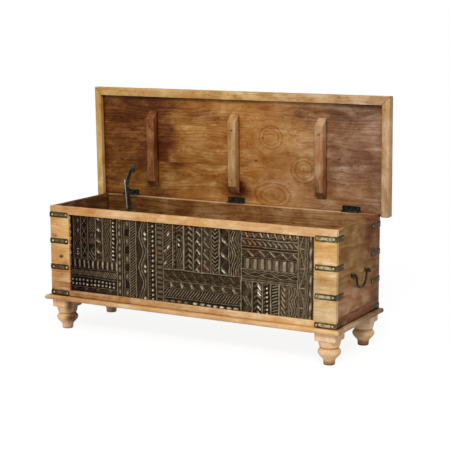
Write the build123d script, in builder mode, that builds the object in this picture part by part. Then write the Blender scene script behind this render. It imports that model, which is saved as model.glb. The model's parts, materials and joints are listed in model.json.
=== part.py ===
from build123d import *
import os
from math import cos, hypot, radians, sin

# A carved storage chest on four turned feet, with its lid standing open.
#
# Frame: +X runs along the chest to the right, +Y from its front to its back and +Z up.
# The origin lies on the floor, under the middle of the chest's length, halfway between the
# front edge of the plinth and the back of the open lid.

os.makedirs("parts", exist_ok=True)

# ---------------------------------------------------------------------------------------
# Driving dimensions, in millimetres and degrees
# ---------------------------------------------------------------------------------------

# Carcass: the box of boards that stands on the plinth
body_length = 1200.0
body_depth = 390.0
body_height = 349.0
board = 18.0
bottom_board_thickness = 12.0
arris = 1.5

# Front frame around the carved boards
top_rail_height = 30.0
bottom_rail_height = 24.0
stile_width = 85.0
lip_thickness = 6.0
rebate_width = 8.0
stile_seam_left = 55.0
stile_seam_right = 182.0
side_seam = 37.0

# Carved boards, left to right: what each board takes of the frame's opening
carved_shares = (212.0, 206.0, 326.0, 223.5, 62.5)

# Main forms of the carving, which stand at the boards' face over a lower ground
carving_depth = 3.0
level_ridge = 5.0
seam_ridge = 5.0
serpentine_band = 9.0
serpentine_swing = 10.0
serpentine_middle = 112.0
serpentine_turns = 2.42

# Each carved board's rows, bottom up: what the row takes of the opening's height, the width
# of the upright ridges that divide it, and what its strips take of the board's width
carved_rows = (
    (
        (21.0, 0.0, ()),
        (38.0, 0.0, ()),
        (32.0, 0.0, ()),
        (38.0, 9.0, (21.2, 21.2, 21.2, 21.2, 21.2, 21.2, 21.2, 21.2, 21.2, 21.2)),
        (166.0, 6.0, (17.0, 34.0, 30.0, 37.0, 31.0, 38.0, 25.0)),
    ),
    ((295.0, 6.0, (23.0, 10.0, 26.0, 27.0, 52.0, 36.0, 32.0)),),
    (
        (18.0, 0.0, ()),
        (37.0, 0.0, ()),
        (26.0, 0.0, ()),
        (43.0, 0.0, ()),
        (171.0, 6.0, (39.5, 46.5, 41.0, 35.0, 38.0, 34.0, 40.5, 51.5)),
    ),
    (
        (113.0, 6.0, (42.0, 41.5, 33.5, 31.0, 37.0, 38.5)),
        (42.0, 0.0, ()),
        (46.0, 13.0, (28.0, 28.0, 28.0, 28.0, 28.0, 28.0, 28.0, 28.0)),
        (32.0, 0.0, ()),
        (32.0, 0.0, ()),
        (30.0, 0.0, ()),
    ),
    ((295.0, 6.0, (33.5, 29.0)),),
)

# Plinth
plinth_thickness = 16.0
plinth_overhang = 20.0
plinth_round = 6.0
plinth_ledge = 4.0

# Turned feet, from the floor up
toe_radius = 20.5
toe_height = 22.0
ankle_radius = 24.5
bulb_height = 39.0
bulb_shoulder_radius = 34.0
bulb_shoulder_height = 11.0
bulb_radius = 42.0
bulb_widest_height = 25.0
groove_radius = 34.0
groove_height = 4.0
cone_low_radius = 35.5
cone_high_radius = 41.5
cone_height = 23.0
foot_block = 84.0
foot_block_height = 32.0
foot_block_round = 4.0
toe_round = 2.0

# Corner straps and their dome nails
strap_levels = 4
strap_height = 21.0
strap_thickness = 2.0
strap_front_arm = 82.0
strap_side_arm = 60.0
strap_rear_side_arm = 77.0
strap_back_arm = 60.0
strap_top_drop = 23.0
strap_bottom_rise = 0.5
strap_end_round = 4.0
strap_bend_round = 1.5
nail_end_offset = 8.0
nail_corner_offset = 12.0
nail_head_radius = 4.0
nail_head_height = 2.2
nail_shank_radius = 1.0
nail_length = 12.0

# Lid
lid_board = 20.0
lid_rim_drop = 20.0
lid_side_rim = 29.5
lid_front_rim = 31.5
lid_side_gap = 7.5
lid_front_gap = 4.5
lid_joint = 1.0
lid_overhang = 9.4
lid_round = 7.0
lid_end_round = 3.0
lid_open_angle = 88.7

# Lid planks, back to front: what each plank takes of the lid's depth
lid_plank_shares = (152.4, 150.5, 107.0)

# Battens across the inside of the lid
batten_width = 34.0
batten_thickness = 32.0
batten_start = 37.5
batten_front_inset = 55.5
batten_bevel = 30.0
batten_end_inset = 241.0
batten_offset = -3.0
batten_screw_back_inset = 54.0
batten_screw_front_inset = 60.0
batten_screw_radius = 2.0
batten_screw_head_radius = 4.0
batten_screw_bite = 13.0

# Butt hinges
hinge_end_inset = 117.5
hinge_length = 73.0
hinge_leaf_thickness = 2.0
hinge_leaf_width = 21.5
hinge_leaf_gap = 0.4
hinge_barrel_radius = 3.5
hinge_pin_radius = 1.5
hinge_pin_head_radius = 2.6
hinge_pin_head = 1.2
hinge_setback = 5.5
hinge_screw_spacing = 26.0
hinge_screw_edge = 9.0
knuckle_count = 5
screw_radius = 1.5
screw_head_radius = 3.0
screw_length = 14.0
screw_angle = 82.0

# Lid stay: two arms and two brackets behind the left half of the opening
stay_end_inset = 126.0
stay_standoff = 12.3
stay_wall_drop = 45.5
stay_lid_rise = 104.8
stay_arm_width = 20.0
stay_channel_width = 7.5
stay_sheet = 1.5
stay_bar_width = 16.0
stay_bar_thickness = 3.5
stay_pin_radius = 2.5
stay_pin_head_radius = 4.5
stay_pin_head = 1.2
stay_plate = 2.0
stay_plate_length = 34.0
stay_plate_width = 16.0
stay_ear_width = 12.0
stay_lid_ear = 2.0
stay_screw_offset = 12.5

# Bail handles and their staples
bail_rise = 168.0
bail_standoff = 12.0
bail_rod_radius = 4.0
bail_half_width = 46.0
bail_foot_half_width = 38.0
bail_drop = 51.0
bail_tip_reach = 73.0
bail_tip_splay = 2.5
bail_tip_drop = 11.0
bail_shoulder_bend = 9.0
bail_foot_bend = 30.0
bail_tip_bend = 5.0
staple_spacing = 61.0
staple_ring_radius = 8.0
staple_ring_thickness = 5.0
staple_shank_radius = 2.8
staple_shank_depth = 12.0
staple_collar_radius = 8.0
staple_collar = 1.5

# Clearances
running_clearance = 0.05
side_clearance = 0.3
loose_clearance = 0.4
hole_clearance = 0.1
recess_clearance = 0.2
notch_clearance = 0.8
drill_extra = 0.5
same_place = 1e-3

# ---------------------------------------------------------------------------------------
# Places worked out from the driving dimensions
# ---------------------------------------------------------------------------------------

half_length = body_length / 2
foot_height = toe_height + bulb_height + groove_height + cone_height + foot_block_height
body_base = foot_height + plinth_thickness
body_top = body_base + body_height

lid_lean_up = cos(radians(lid_open_angle))
lid_lean_out = sin(radians(lid_open_angle))
front_reach = body_depth / 2 + plinth_overhang
back_reach = (
    body_depth / 2
    + hinge_setback
    + (lid_board + lid_joint / 2) * lid_lean_out
    + lid_overhang * lid_lean_up
)
body_middle = (front_reach - back_reach) / 2
body_front = body_middle - body_depth / 2
body_back = body_middle + body_depth / 2
inner_half_length = half_length - board
inner_front = body_front + board
inner_back = body_back - board

hinge_y = body_back + hinge_setback
hinge_z = body_top + lid_joint / 2
lid_up = (0, -lid_lean_up, lid_lean_out)
lid_inward = (0, -lid_lean_out, -lid_lean_up)
# On this plane x is along the chest, y runs up the open lid from the hinge line and z points
# to the side that faces into the closed chest.
lid_plane = Plane(origin=(0, hinge_y, hinge_z), x_dir=(1, 0, 0), z_dir=lid_inward)
lid_face = -lid_joint / 2
lid_back = lid_face - lid_board
lid_inner_half = half_length + lid_side_gap
lid_outer_half = lid_inner_half + lid_side_rim
lid_inner_front = hinge_setback + body_depth + lid_front_gap
lid_outer_front = lid_inner_front + lid_front_rim
lid_axis = Axis((0, 0, 0), lid_up)

SIDES = (("left", -1), ("right", 1))
hinge_spacing = half_length - hinge_end_inset
hinge_centres = (-hinge_spacing, 0.0, hinge_spacing)
batten_spacing = lid_inner_half - batten_end_inset
batten_centres = tuple(batten_offset + step * batten_spacing for step in (-1, 0, 1))
stay_x = stay_end_inset - half_length


# ---------------------------------------------------------------------------------------
# Helpers
# ---------------------------------------------------------------------------------------


def rectangle_between(x_low, x_high, y_low, y_high, mode=Mode.ADD):
    """Draw a rectangle between two corners of the sketch plane in use."""
    with Locations(((x_low + x_high) / 2, (y_low + y_high) / 2)):
        Rectangle(x_high - x_low, y_high - y_low, mode=mode)


def save(piece, name):
    """Label a finished piece and write it under its own name."""
    piece.part.label = name
    export_step(piece.part, f"parts/{name}.step")


def running_totals(shares, start, end):
    """Split the stretch from start to end in the proportion of the shares."""
    marks = [start]
    for share in shares:
        marks.append(marks[-1] + (end - start) * share / sum(shares))
    return marks


def countersunk_screw(head_radius, shank_radius, length):
    """A countersunk wood screw, its flat head at the origin and its shank down -Z."""
    head_depth = (head_radius - shank_radius) / sin(radians(screw_angle / 2))
    head_depth = head_depth * cos(radians(screw_angle / 2))
    with BuildPart() as screw:
        with BuildSketch(Plane.XZ):
            with BuildLine():
                Polyline(
                    (0, 0),
                    (head_radius, 0),
                    (shank_radius, -head_depth),
                    (shank_radius, -length),
                    (0, -length),
                    close=True,
                )
            make_face()
        revolve(axis=Axis.Z)
    return screw.part


def headed_pin(pin_radius, pin_length, head_radius, head):
    """A plain pin along Z, centred on the origin, with a flat head at each end."""
    with BuildPart() as pin:
        with BuildSketch(Plane.XY.offset(-pin_length / 2)):
            Circle(pin_radius)
        extrude(amount=pin_length)
        for end in (-pin_length / 2 - head, pin_length / 2):
            with BuildSketch(Plane.XY.offset(end)):
                Circle(head_radius)
            extrude(amount=head)
    return pin.part


# ---------------------------------------------------------------------------------------
# Where the straps, nails, hinge screws and batten screws go
# ---------------------------------------------------------------------------------------

strap_low = body_base + strap_bottom_rise
strap_high = body_top - strap_top_drop - strap_height
strap_step = (strap_high - strap_low) / (strap_levels - 1)
strap_bottoms = [strap_low + level * strap_step for level in range(strap_levels)]

# Each corner: its name, its side of the chest, its end of the depth, and its two arms.
CORNERS = (
    ("front_left", -1, -1, strap_front_arm, strap_side_arm),
    ("front_right", 1, -1, strap_front_arm, strap_side_arm),
    ("back_left", -1, 1, strap_back_arm, strap_rear_side_arm),
    ("back_right", 1, 1, strap_back_arm, strap_rear_side_arm),
)

front_nails = []
back_nails = []
side_nails = {-1: [], 1: []}
for _, x_side, y_side, x_arm, y_arm in CORNERS:
    face_y = body_front if y_side < 0 else body_back
    for bottom in strap_bottoms:
        nail_z = bottom + strap_height / 2
        x_offsets = [x_arm - nail_end_offset]
        y_offsets = [y_arm - nail_end_offset]
        if y_side < 0:
            x_offsets.append(nail_corner_offset)
        else:
            y_offsets.append(nail_corner_offset)
        for offset in x_offsets:
            spot = (x_side * (half_length - offset), face_y + y_side * strap_thickness, nail_z)
            face_nails = front_nails if y_side < 0 else back_nails
            face_nails.append(Plane(origin=spot, z_dir=(0, y_side, 0)).location)
        for offset in y_offsets:
            spot = (x_side * (half_length + strap_thickness), face_y - y_side * offset, nail_z)
            side_nails[x_side].append(Plane(origin=spot, z_dir=(x_side, 0, 0)).location)
all_nails = front_nails + back_nails + side_nails[-1] + side_nails[1]

# Hinge leaves lie a leaf gap apart when the lid is shut; their screws run down the middle.
leaf_face = hinge_leaf_gap / 2
screw_offsets = (-hinge_screw_spacing, 0.0, hinge_screw_spacing)
body_leaf_screws = [
    Location((centre + offset, hinge_y - hinge_leaf_width + hinge_screw_edge, hinge_z - leaf_face))
    for centre in hinge_centres
    for offset in screw_offsets
]
lid_leaf_screws = [
    lid_plane.offset(-leaf_face).location
    * Location((centre + offset, hinge_leaf_width - hinge_screw_edge, 0))
    for centre in hinge_centres
    for offset in screw_offsets
]

batten_ends = (batten_start, lid_inner_front - batten_front_inset)
batten_screw_rows = (
    batten_ends[0] + batten_screw_back_inset,
    batten_ends[1] - batten_screw_front_inset,
)
batten_screw_spots = [
    lid_plane.offset(lid_face + batten_thickness).location * Location((centre, row, 0))
    for centre in batten_centres
    for row in batten_screw_rows
]
batten_screw_length = batten_thickness + batten_screw_bite

# Stay pivots, in the plane across the chest. The arms and the two bracket lines make a
# parallelogram, so each arm turns through exactly the lid's own angle.
wall_pivot_y = inner_back - stay_standoff
wall_pivot_z = hinge_z - stay_wall_drop
lid_pivot_height = lid_face + stay_standoff
pivot_rise_y = stay_lid_rise * lid_up[1] + lid_pivot_height * lid_inward[1]
pivot_rise_z = stay_lid_rise * lid_up[2] + lid_pivot_height * lid_inward[2]
elbow_y = wall_pivot_y + pivot_rise_y
elbow_z = wall_pivot_z + pivot_rise_z
lower_arm_length = hypot(pivot_rise_y, pivot_rise_z)
upper_arm_length = hypot(hinge_y - wall_pivot_y, hinge_z - wall_pivot_z)
# On these planes x runs along the arm and z is the chest's own +X.
lower_arm_plane = Plane(
    origin=(stay_x, wall_pivot_y, wall_pivot_z),
    x_dir=(0, pivot_rise_y, pivot_rise_z),
    z_dir=(1, 0, 0),
)
upper_arm_plane = Plane(
    origin=(stay_x, elbow_y, elbow_z),
    x_dir=(0, hinge_y - wall_pivot_y, hinge_z - wall_pivot_z),
    z_dir=(1, 0, 0),
)
lid_pivot_y = hinge_y + pivot_rise_y
lid_pivot_z = hinge_z + pivot_rise_z
stay_channel_gap = stay_bar_thickness + 2 * side_clearance + loose_clearance

wall_plate_plane = Plane(
    origin=(stay_x, inner_back, wall_pivot_z), x_dir=(1, 0, 0), z_dir=(0, -1, 0)
)
lid_plate_plane = Plane(
    origin=lid_plane.from_local_coords(Vector(stay_x, stay_lid_rise, lid_face)),
    x_dir=(1, 0, 0),
    z_dir=lid_inward,
)
wall_plate_screws = [
    wall_plate_plane.offset(stay_plate).location * Location((0, offset, 0))
    for offset in (-stay_screw_offset, stay_screw_offset)
]
lid_plate_screws = [
    lid_plate_plane.offset(stay_plate).location * Location((0, offset, 0))
    for offset in (-stay_screw_offset, stay_screw_offset)
]

# Staple spots: on the outer face of each end, pointing out
bail_z = body_base + bail_rise
staple_spots = {
    side: [
        Plane(
            origin=(side * half_length, body_middle + offset, bail_z),
            x_dir=(0, 0, 1),
            z_dir=(side, 0, 0),
        ).location
        for offset in (-staple_spacing, staple_spacing)
    ]
    for side in (-1, 1)
}

# Holes shared by the boards
nail_hole = nail_shank_radius + hole_clearance
nail_hole_depth = nail_length + drill_extra
screw_hole = screw_radius + hole_clearance
screw_hole_depth = screw_length + drill_extra

# ---------------------------------------------------------------------------------------
# Front frame
# ---------------------------------------------------------------------------------------

rebate_half = half_length - stile_width + rebate_width
rebate_bottom = body_base + bottom_rail_height - rebate_width
rebate_top = body_top - top_rail_height + rebate_width
lip_back = body_front + lip_thickness
stile_bottom = body_base + bottom_rail_height
stile_top = body_top - top_rail_height

with BuildPart() as front_top_rail:
    with BuildSketch(Plane.XY.offset(stile_top)):
        rectangle_between(-half_length, half_length, body_front, inner_front)
    extrude(amount=top_rail_height)
    top_edges = front_top_rail.faces().sort_by(Axis.Z)[-1].edges()
    face_edges = front_top_rail.faces().sort_by(Axis.Y)[0].edges()
    fillet(top_edges + face_edges, arris)
    with BuildSketch(Plane.XY.offset(stile_top)):
        rectangle_between(-rebate_half, rebate_half, lip_back, inner_front)
    extrude(amount=rebate_width, mode=Mode.SUBTRACT)
    with Locations(*front_nails):
        Hole(nail_hole, nail_hole_depth)
save(front_top_rail, "front_top_rail")

with BuildPart() as front_bottom_rail:
    with BuildSketch(Plane.XY.offset(body_base)):
        rectangle_between(-half_length, half_length, body_front, inner_front)
    extrude(amount=bottom_rail_height)
    face_edges = front_bottom_rail.faces().sort_by(Axis.Y)[0].edges()
    fillet(face_edges, arris)
    with BuildSketch(Plane.XY.offset(rebate_bottom)):
        rectangle_between(-rebate_half, rebate_half, lip_back, inner_front)
    extrude(amount=rebate_width, mode=Mode.SUBTRACT)
    with Locations(*front_nails):
        Hole(nail_hole, nail_hole_depth)
save(front_bottom_rail, "front_bottom_rail")


def stile_block(side, bottom, top):
    """One block of a front stile, rebated behind its lip for the carved boards."""
    inner_edge = side * (half_length - stile_width)
    rebate_edge = side * rebate_half
    outer_edge = side * half_length
    with BuildPart() as block:
        with BuildSketch(Plane.XY.offset(bottom)):
            with BuildLine():
                Polyline(
                    (inner_edge, body_front),
                    (outer_edge, body_front),
                    (outer_edge, inner_front),
                    (rebate_edge, inner_front),
                    (rebate_edge, lip_back),
                    (inner_edge, lip_back),
                    close=True,
                )
            make_face()
        extrude(amount=top - bottom)
        fillet(block.faces().sort_by(Axis.Y)[0].edges(), arris)
        with Locations(*front_nails):
            Hole(nail_hole, nail_hole_depth)
    return block


for side_name, side in SIDES:
    seam = body_base + (stile_seam_left if side < 0 else stile_seam_right)
    save(stile_block(side, stile_bottom, seam), f"front_stile_{side_name}_lower")
    save(stile_block(side, seam, stile_top), f"front_stile_{side_name}_upper")

# ---------------------------------------------------------------------------------------
# Carved boards, edge to edge behind the lip
# ---------------------------------------------------------------------------------------

opening_half = half_length - stile_width
carved_marks = running_totals(carved_shares, -opening_half, opening_half)
board_ends = [-rebate_half, *carved_marks[1:-1], rebate_half]
# On the carving's plane x runs along the chest and y is the height above the floor.
carving_plane = Plane(origin=(0, lip_back, 0), x_dir=(1, 0, 0), z_dir=(0, -1, 0))
last_board = len(carved_shares) - 1
serpentine_board = 1


def serpentine_edge(middle, side):
    """Points up one edge of the serpentine band, which swings as a cosine about its middle."""
    steps = 10
    run = stile_top - stile_bottom + 2 * level_ridge
    points = []
    for step in range(steps + 1):
        swing = serpentine_swing * cos(radians(360 * serpentine_turns * step / steps))
        rise = stile_bottom - level_ridge + run * step / steps
        points.append((middle - swing + side * serpentine_band / 2, rise))
    return points


for number, rows in enumerate(carved_rows):
    left, right = carved_marks[number], carved_marks[number + 1]
    seam_edge = right - seam_ridge if number < last_board else right
    row_marks = running_totals([row[0] for row in rows], stile_bottom, stile_top)
    with BuildPart() as carved_board:
        with BuildSketch(Plane.XY.offset(rebate_bottom)):
            rectangle_between(board_ends[number], board_ends[number + 1], lip_back, inner_front)
        extrude(amount=rebate_top - rebate_bottom)
        with BuildSketch(carving_plane):
            rectangle_between(left, seam_edge, stile_bottom, stile_top)
            half = level_ridge / 2
            for mark in row_marks[1:-1]:
                rectangle_between(left, right, mark - half, mark + half, Mode.SUBTRACT)
            for (_, ridge, strips), low, high in zip(rows, row_marks, row_marks[1:]):
                half = ridge / 2
                for mark in running_totals(strips, left, right)[1:-1]:
                    rectangle_between(mark - half, mark + half, low, high, Mode.SUBTRACT)
            if number == serpentine_board:
                middle = left + (right - left) * serpentine_middle / carved_shares[number]
                left_edge = serpentine_edge(middle, -1)
                right_edge = serpentine_edge(middle, 1)
                with BuildLine():
                    Spline(*left_edge)
                    Line(left_edge[-1], right_edge[-1])
                    Spline(*right_edge)
                    Line(right_edge[0], left_edge[0])
                make_face(mode=Mode.SUBTRACT)
        extrude(amount=-carving_depth, mode=Mode.SUBTRACT)
    save(carved_board, f"carved_board_{number + 1}")

# ---------------------------------------------------------------------------------------
# Ends, back and bottom
# ---------------------------------------------------------------------------------------


def side_plank(side, bottom, top):
    """One plank of an end, drilled for the strap nails and the bail's staples."""
    edges_x = sorted((side * inner_half_length, side * half_length))
    with BuildPart() as plank:
        with BuildSketch(Plane.XY.offset(bottom)):
            rectangle_between(*edges_x, inner_front, body_back)
        extrude(amount=top - bottom)
        outer_face = plank.faces().sort_by(Axis.X)[0 if side < 0 else -1]
        fillet(outer_face.edges(), arris)
        with Locations(*side_nails[side]):
            Hole(nail_hole, nail_hole_depth)
        with Locations(*staple_spots[side]):
            Hole(staple_shank_radius + hole_clearance, staple_shank_depth + drill_extra)
    return plank


for side_name, side in SIDES:
    seam = body_base + side_seam
    save(side_plank(side, body_base, seam), f"side_plank_{side_name}_lower")
    save(side_plank(side, seam, body_top), f"side_plank_{side_name}_upper")

# The back's top edge is recessed for the hinge leaves.
recess_depth = hinge_leaf_thickness - (lid_joint / 2 - leaf_face)
with BuildPart() as back_panel:
    with BuildSketch(Plane.XY.offset(body_base)):
        rectangle_between(-inner_half_length, inner_half_length, inner_back, body_back)
    extrude(amount=body_height)
    with BuildSketch(Plane.XY.offset(body_top - recess_depth)):
        for centre in hinge_centres:
            rectangle_between(
                centre - hinge_length / 2 - recess_clearance,
                centre + hinge_length / 2 + recess_clearance,
                hinge_y - hinge_leaf_width - recess_clearance,
                body_back + board,
            )
    extrude(amount=recess_depth, mode=Mode.SUBTRACT)
    with Locations(*body_leaf_screws):
        Hole(screw_hole, screw_hole_depth)
    with Locations(*wall_plate_screws):
        Hole(screw_hole, screw_hole_depth)
    with Locations(*back_nails):
        Hole(nail_hole, nail_hole_depth)
save(back_panel, "back_panel")

with BuildPart() as bottom_board:
    with BuildSketch(Plane.XY.offset(body_base)):
        rectangle_between(-inner_half_length, inner_half_length, inner_front, inner_back)
    extrude(amount=bottom_board_thickness)
save(bottom_board, "bottom_board")

# ---------------------------------------------------------------------------------------
# Plinth: mitred at the front corners, square behind, flush with the chest's back
# ---------------------------------------------------------------------------------------

plinth_half = half_length + plinth_overhang
plinth_front_edge = body_front - plinth_overhang
ledge_half = half_length - foot_block - plinth_ledge
ledge_front = body_front + foot_block + plinth_ledge
ledge_back = body_back - foot_block - plinth_ledge

with BuildPart() as plinth_front:
    with BuildSketch(Plane.XY.offset(foot_height)):
        with BuildLine():
            Polyline(
                (-plinth_half, plinth_front_edge),
                (plinth_half, plinth_front_edge),
                (ledge_half, ledge_front),
                (-ledge_half, ledge_front),
                close=True,
            )
        make_face()
    extrude(amount=plinth_thickness)
    front_edges = plinth_front.edges().filter_by(Axis.X).group_by(Axis.Y)[0]
    fillet(front_edges, plinth_round)
save(plinth_front, "plinth_front")

for side_name, side in SIDES:
    with BuildPart() as plinth_side:
        with BuildSketch(Plane.XY.offset(foot_height)):
            with BuildLine():
                Polyline(
                    (side * plinth_half, plinth_front_edge),
                    (side * plinth_half, body_back),
                    (side * ledge_half, body_back),
                    (side * ledge_half, ledge_front),
                    close=True,
                )
            make_face()
        extrude(amount=plinth_thickness)
        outer_edges = plinth_side.edges().filter_by(Axis.Y).group_by(Axis.X)[0 if side < 0 else -1]
        fillet(outer_edges, plinth_round)
    save(plinth_side, f"plinth_{side_name}")

with BuildPart() as plinth_back:
    with BuildSketch(Plane.XY.offset(foot_height)):
        rectangle_between(-ledge_half, ledge_half, ledge_back, body_back)
    extrude(amount=plinth_thickness)
save(plinth_back, "plinth_back")

# ---------------------------------------------------------------------------------------
# Turned feet: toe, bulb, groove and cone under a square block
# ---------------------------------------------------------------------------------------

bulb_base = toe_height
groove_base = bulb_base + bulb_height
cone_base = groove_base + groove_height
block_base = cone_base + cone_height
foot_inset = foot_block / 2

for side_name, side in SIDES:
    for end_name, foot_y in (
        ("front", body_front + foot_inset),
        ("back", body_back - foot_inset),
    ):
        foot_x = side * (half_length - foot_inset)
        with BuildPart() as foot:
            with BuildSketch(Plane((foot_x, foot_y, 0), x_dir=(1, 0, 0), z_dir=(0, -1, 0))):
                with BuildLine():
                    Polyline(
                        (groove_radius, groove_base),
                        (groove_radius, cone_base),
                        (cone_low_radius, cone_base),
                        (cone_high_radius, block_base),
                        (0, block_base),
                        (0, 0),
                        (toe_radius - toe_round, 0),
                        (toe_radius, toe_round),
                        (ankle_radius - toe_round, toe_height),
                        (ankle_radius, toe_height),
                    )
                    Spline(
                        (ankle_radius, toe_height),
                        (bulb_shoulder_radius, bulb_base + bulb_shoulder_height),
                        (bulb_radius, bulb_base + bulb_widest_height),
                        (groove_radius, groove_base),
                    )
                make_face()
            revolve(axis=Axis((foot_x, foot_y, 0), (0, 0, 1)))
            with BuildSketch(Plane((foot_x, foot_y, block_base))):
                Rectangle(foot_block, foot_block)
            extrude(amount=foot_block_height)
            block_edges = foot.faces().filter_by(Axis.Z).sort_by(Axis.Z)[-2].outer_wire().edges()
            fillet(block_edges, foot_block_round)
        save(foot, f"foot_{end_name}_{side_name}")

# ---------------------------------------------------------------------------------------
# Corner straps, four to a corner, and their dome nails
# ---------------------------------------------------------------------------------------

for corner_name, x_side, y_side, x_arm, y_arm in CORNERS:
    corner_x = x_side * half_length
    corner_y = body_front if y_side < 0 else body_back
    face_x = corner_x + x_side * strap_thickness
    face_y = corner_y + y_side * strap_thickness
    end_x = corner_x - x_side * x_arm
    end_y = corner_y - y_side * y_arm
    with BuildPart() as straps:
        for bottom in strap_bottoms:
            with BuildSketch(Plane.XY.offset(bottom)) as outline:
                with BuildLine():
                    Polyline(
                        (end_x, corner_y),
                        (corner_x, corner_y),
                        (corner_x, end_y),
                        (face_x, end_y),
                        (face_x, face_y),
                        (end_x, face_y),
                        close=True,
                    )
                make_face()
                bend = outline.vertices().sort_by_distance((face_x, face_y, bottom))[0]
                fillet(bend, strap_bend_round)
            extrude(amount=strap_height)
        arm_ends = straps.edges().filter_by(
            lambda edge: (
                abs(edge.length - strap_thickness) < same_place
                and (
                    abs(edge.center().X - end_x) < same_place
                    or abs(edge.center().Y - end_y) < same_place
                )
            )
        )
        fillet(arm_ends, strap_end_round)
        with Locations(*all_nails):
            Hole(nail_hole, nail_hole_depth)
    save(straps, f"corner_straps_{corner_name}")

dome_radius = (nail_head_radius**2 + nail_head_height**2) / (2 * nail_head_height)
dome_centre = nail_head_height - dome_radius
dome_half_way = nail_head_radius / 2
dome_middle = (dome_half_way, dome_centre + (dome_radius**2 - dome_half_way**2) ** 0.5)
with BuildPart() as nail:
    with BuildSketch(Plane.XZ):
        with BuildLine():
            ThreePointArc((nail_head_radius, 0), dome_middle, (0, nail_head_height))
            Polyline(
                (0, nail_head_height),
                (0, -nail_length),
                (nail_shank_radius, -nail_length),
                (nail_shank_radius, 0),
                (nail_head_radius, 0),
            )
        make_face()
    revolve(axis=Axis.Z)

with BuildPart() as strap_nails:
    with Locations(*all_nails):
        add(nail.part)
save(strap_nails, "strap_nails")

# ---------------------------------------------------------------------------------------
# Bail handles: a bent rod hanging in two ring staples at each end of the chest
# ---------------------------------------------------------------------------------------

bail_route = (
    (-bail_tip_reach - bail_tip_splay, -bail_tip_drop),
    (-bail_tip_reach, 0),
    (-bail_half_width, 0),
    (-bail_foot_half_width, -bail_drop),
    (bail_foot_half_width, -bail_drop),
    (bail_half_width, 0),
    (bail_tip_reach, 0),
    (bail_tip_reach + bail_tip_splay, -bail_tip_drop),
)
bail_bends = (
    bail_tip_bend,
    bail_shoulder_bend,
    bail_foot_bend,
    bail_foot_bend,
    bail_shoulder_bend,
    bail_tip_bend,
)
ring_bore = bail_rod_radius + loose_clearance

for side_name, side in SIDES:
    bail_x = side * (half_length + bail_standoff)
    bail_plane = Plane(origin=(bail_x, body_middle, bail_z), x_dir=(0, 1, 0), z_dir=(1, 0, 0))
    with BuildPart() as bail:
        with BuildLine(bail_plane) as rod_line:
            FilletPolyline(*bail_route, radius=bail_bends)
        with BuildSketch(Plane(origin=rod_line.line @ 0, z_dir=rod_line.line % 0)):
            Circle(bail_rod_radius)
        sweep()
    save(bail, f"bail_{side_name}")

    with BuildPart() as staples:
        for spot in staple_spots[side]:
            wall_plane = Plane(spot)
            with BuildSketch(wall_plane.offset(-staple_shank_depth)):
                Circle(staple_shank_radius)
            extrude(amount=staple_shank_depth + bail_standoff - (ring_bore + staple_ring_radius) / 2)
            with BuildSketch(wall_plane):
                Circle(staple_collar_radius)
            extrude(amount=staple_collar)
            ring_plane = Plane(
                origin=(bail_x, spot.position.Y, bail_z), x_dir=(1, 0, 0), z_dir=(0, 1, 0)
            )
            with BuildSketch(ring_plane.offset(-staple_ring_thickness / 2)):
                Circle(staple_ring_radius)
            extrude(amount=staple_ring_thickness)
            with BuildSketch(ring_plane.offset(-staple_ring_thickness)):
                Circle(ring_bore)
            extrude(amount=2 * staple_ring_thickness, mode=Mode.SUBTRACT)
    save(staples, f"bail_staples_{side_name}")

# ---------------------------------------------------------------------------------------
# Lid planks and rim
# ---------------------------------------------------------------------------------------

plank_names = ("back", "middle", "front")
plank_marks = running_totals(lid_plank_shares, -lid_overhang, lid_inner_front)
notch_front = hinge_barrel_radius + notch_clearance
notch_half = hinge_length / 2 + hinge_pin_head + notch_clearance
lid_recess_depth = recess_depth
for number, plank_name in enumerate(plank_names):
    with BuildPart() as lid_plank:
        with BuildSketch(lid_plane.offset(lid_back)):
            rectangle_between(
                -lid_inner_half, lid_inner_half, plank_marks[number], plank_marks[number + 1]
            )
        extrude(amount=lid_board)
        if number == 0:
            # Shallow recesses take the leaves, and notches open behind take the knuckles.
            with BuildSketch(lid_plane.offset(lid_face - lid_recess_depth)):
                for centre in hinge_centres:
                    rectangle_between(
                        centre - hinge_length / 2 - recess_clearance,
                        centre + hinge_length / 2 + recess_clearance,
                        0,
                        hinge_leaf_width + recess_clearance,
                    )
            extrude(amount=lid_recess_depth, mode=Mode.SUBTRACT)
            with BuildSketch(lid_plane.offset(-notch_front)):
                for centre in hinge_centres:
                    rectangle_between(
                        centre - notch_half, centre + notch_half, -lid_overhang, notch_front
                    )
            extrude(amount=notch_front + lid_face, mode=Mode.SUBTRACT)
            with Locations(*lid_leaf_screws):
                Hole(screw_hole, screw_hole_depth)
        with Locations(*lid_plate_screws):
            Hole(screw_hole, screw_hole_depth)
        with Locations(*batten_screw_spots):
            Hole(batten_screw_radius + hole_clearance, batten_screw_length + drill_extra)
    save(lid_plank, f"lid_plank_{plank_name}")

rim_thickness = lid_board + lid_rim_drop
with BuildPart() as lid_rim_front:
    with BuildSketch(lid_plane.offset(lid_back)):
        with BuildLine():
            Polyline(
                (-lid_outer_half, lid_outer_front),
                (lid_outer_half, lid_outer_front),
                (lid_inner_half, lid_inner_front),
                (-lid_inner_half, lid_inner_front),
                close=True,
            )
        make_face()
    extrude(amount=rim_thickness)
    outer_edges = lid_rim_front.edges().filter_by(Axis.X).group_by(lid_axis)[-1]
    fillet(outer_edges, lid_round)
save(lid_rim_front, "lid_rim_front")

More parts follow.
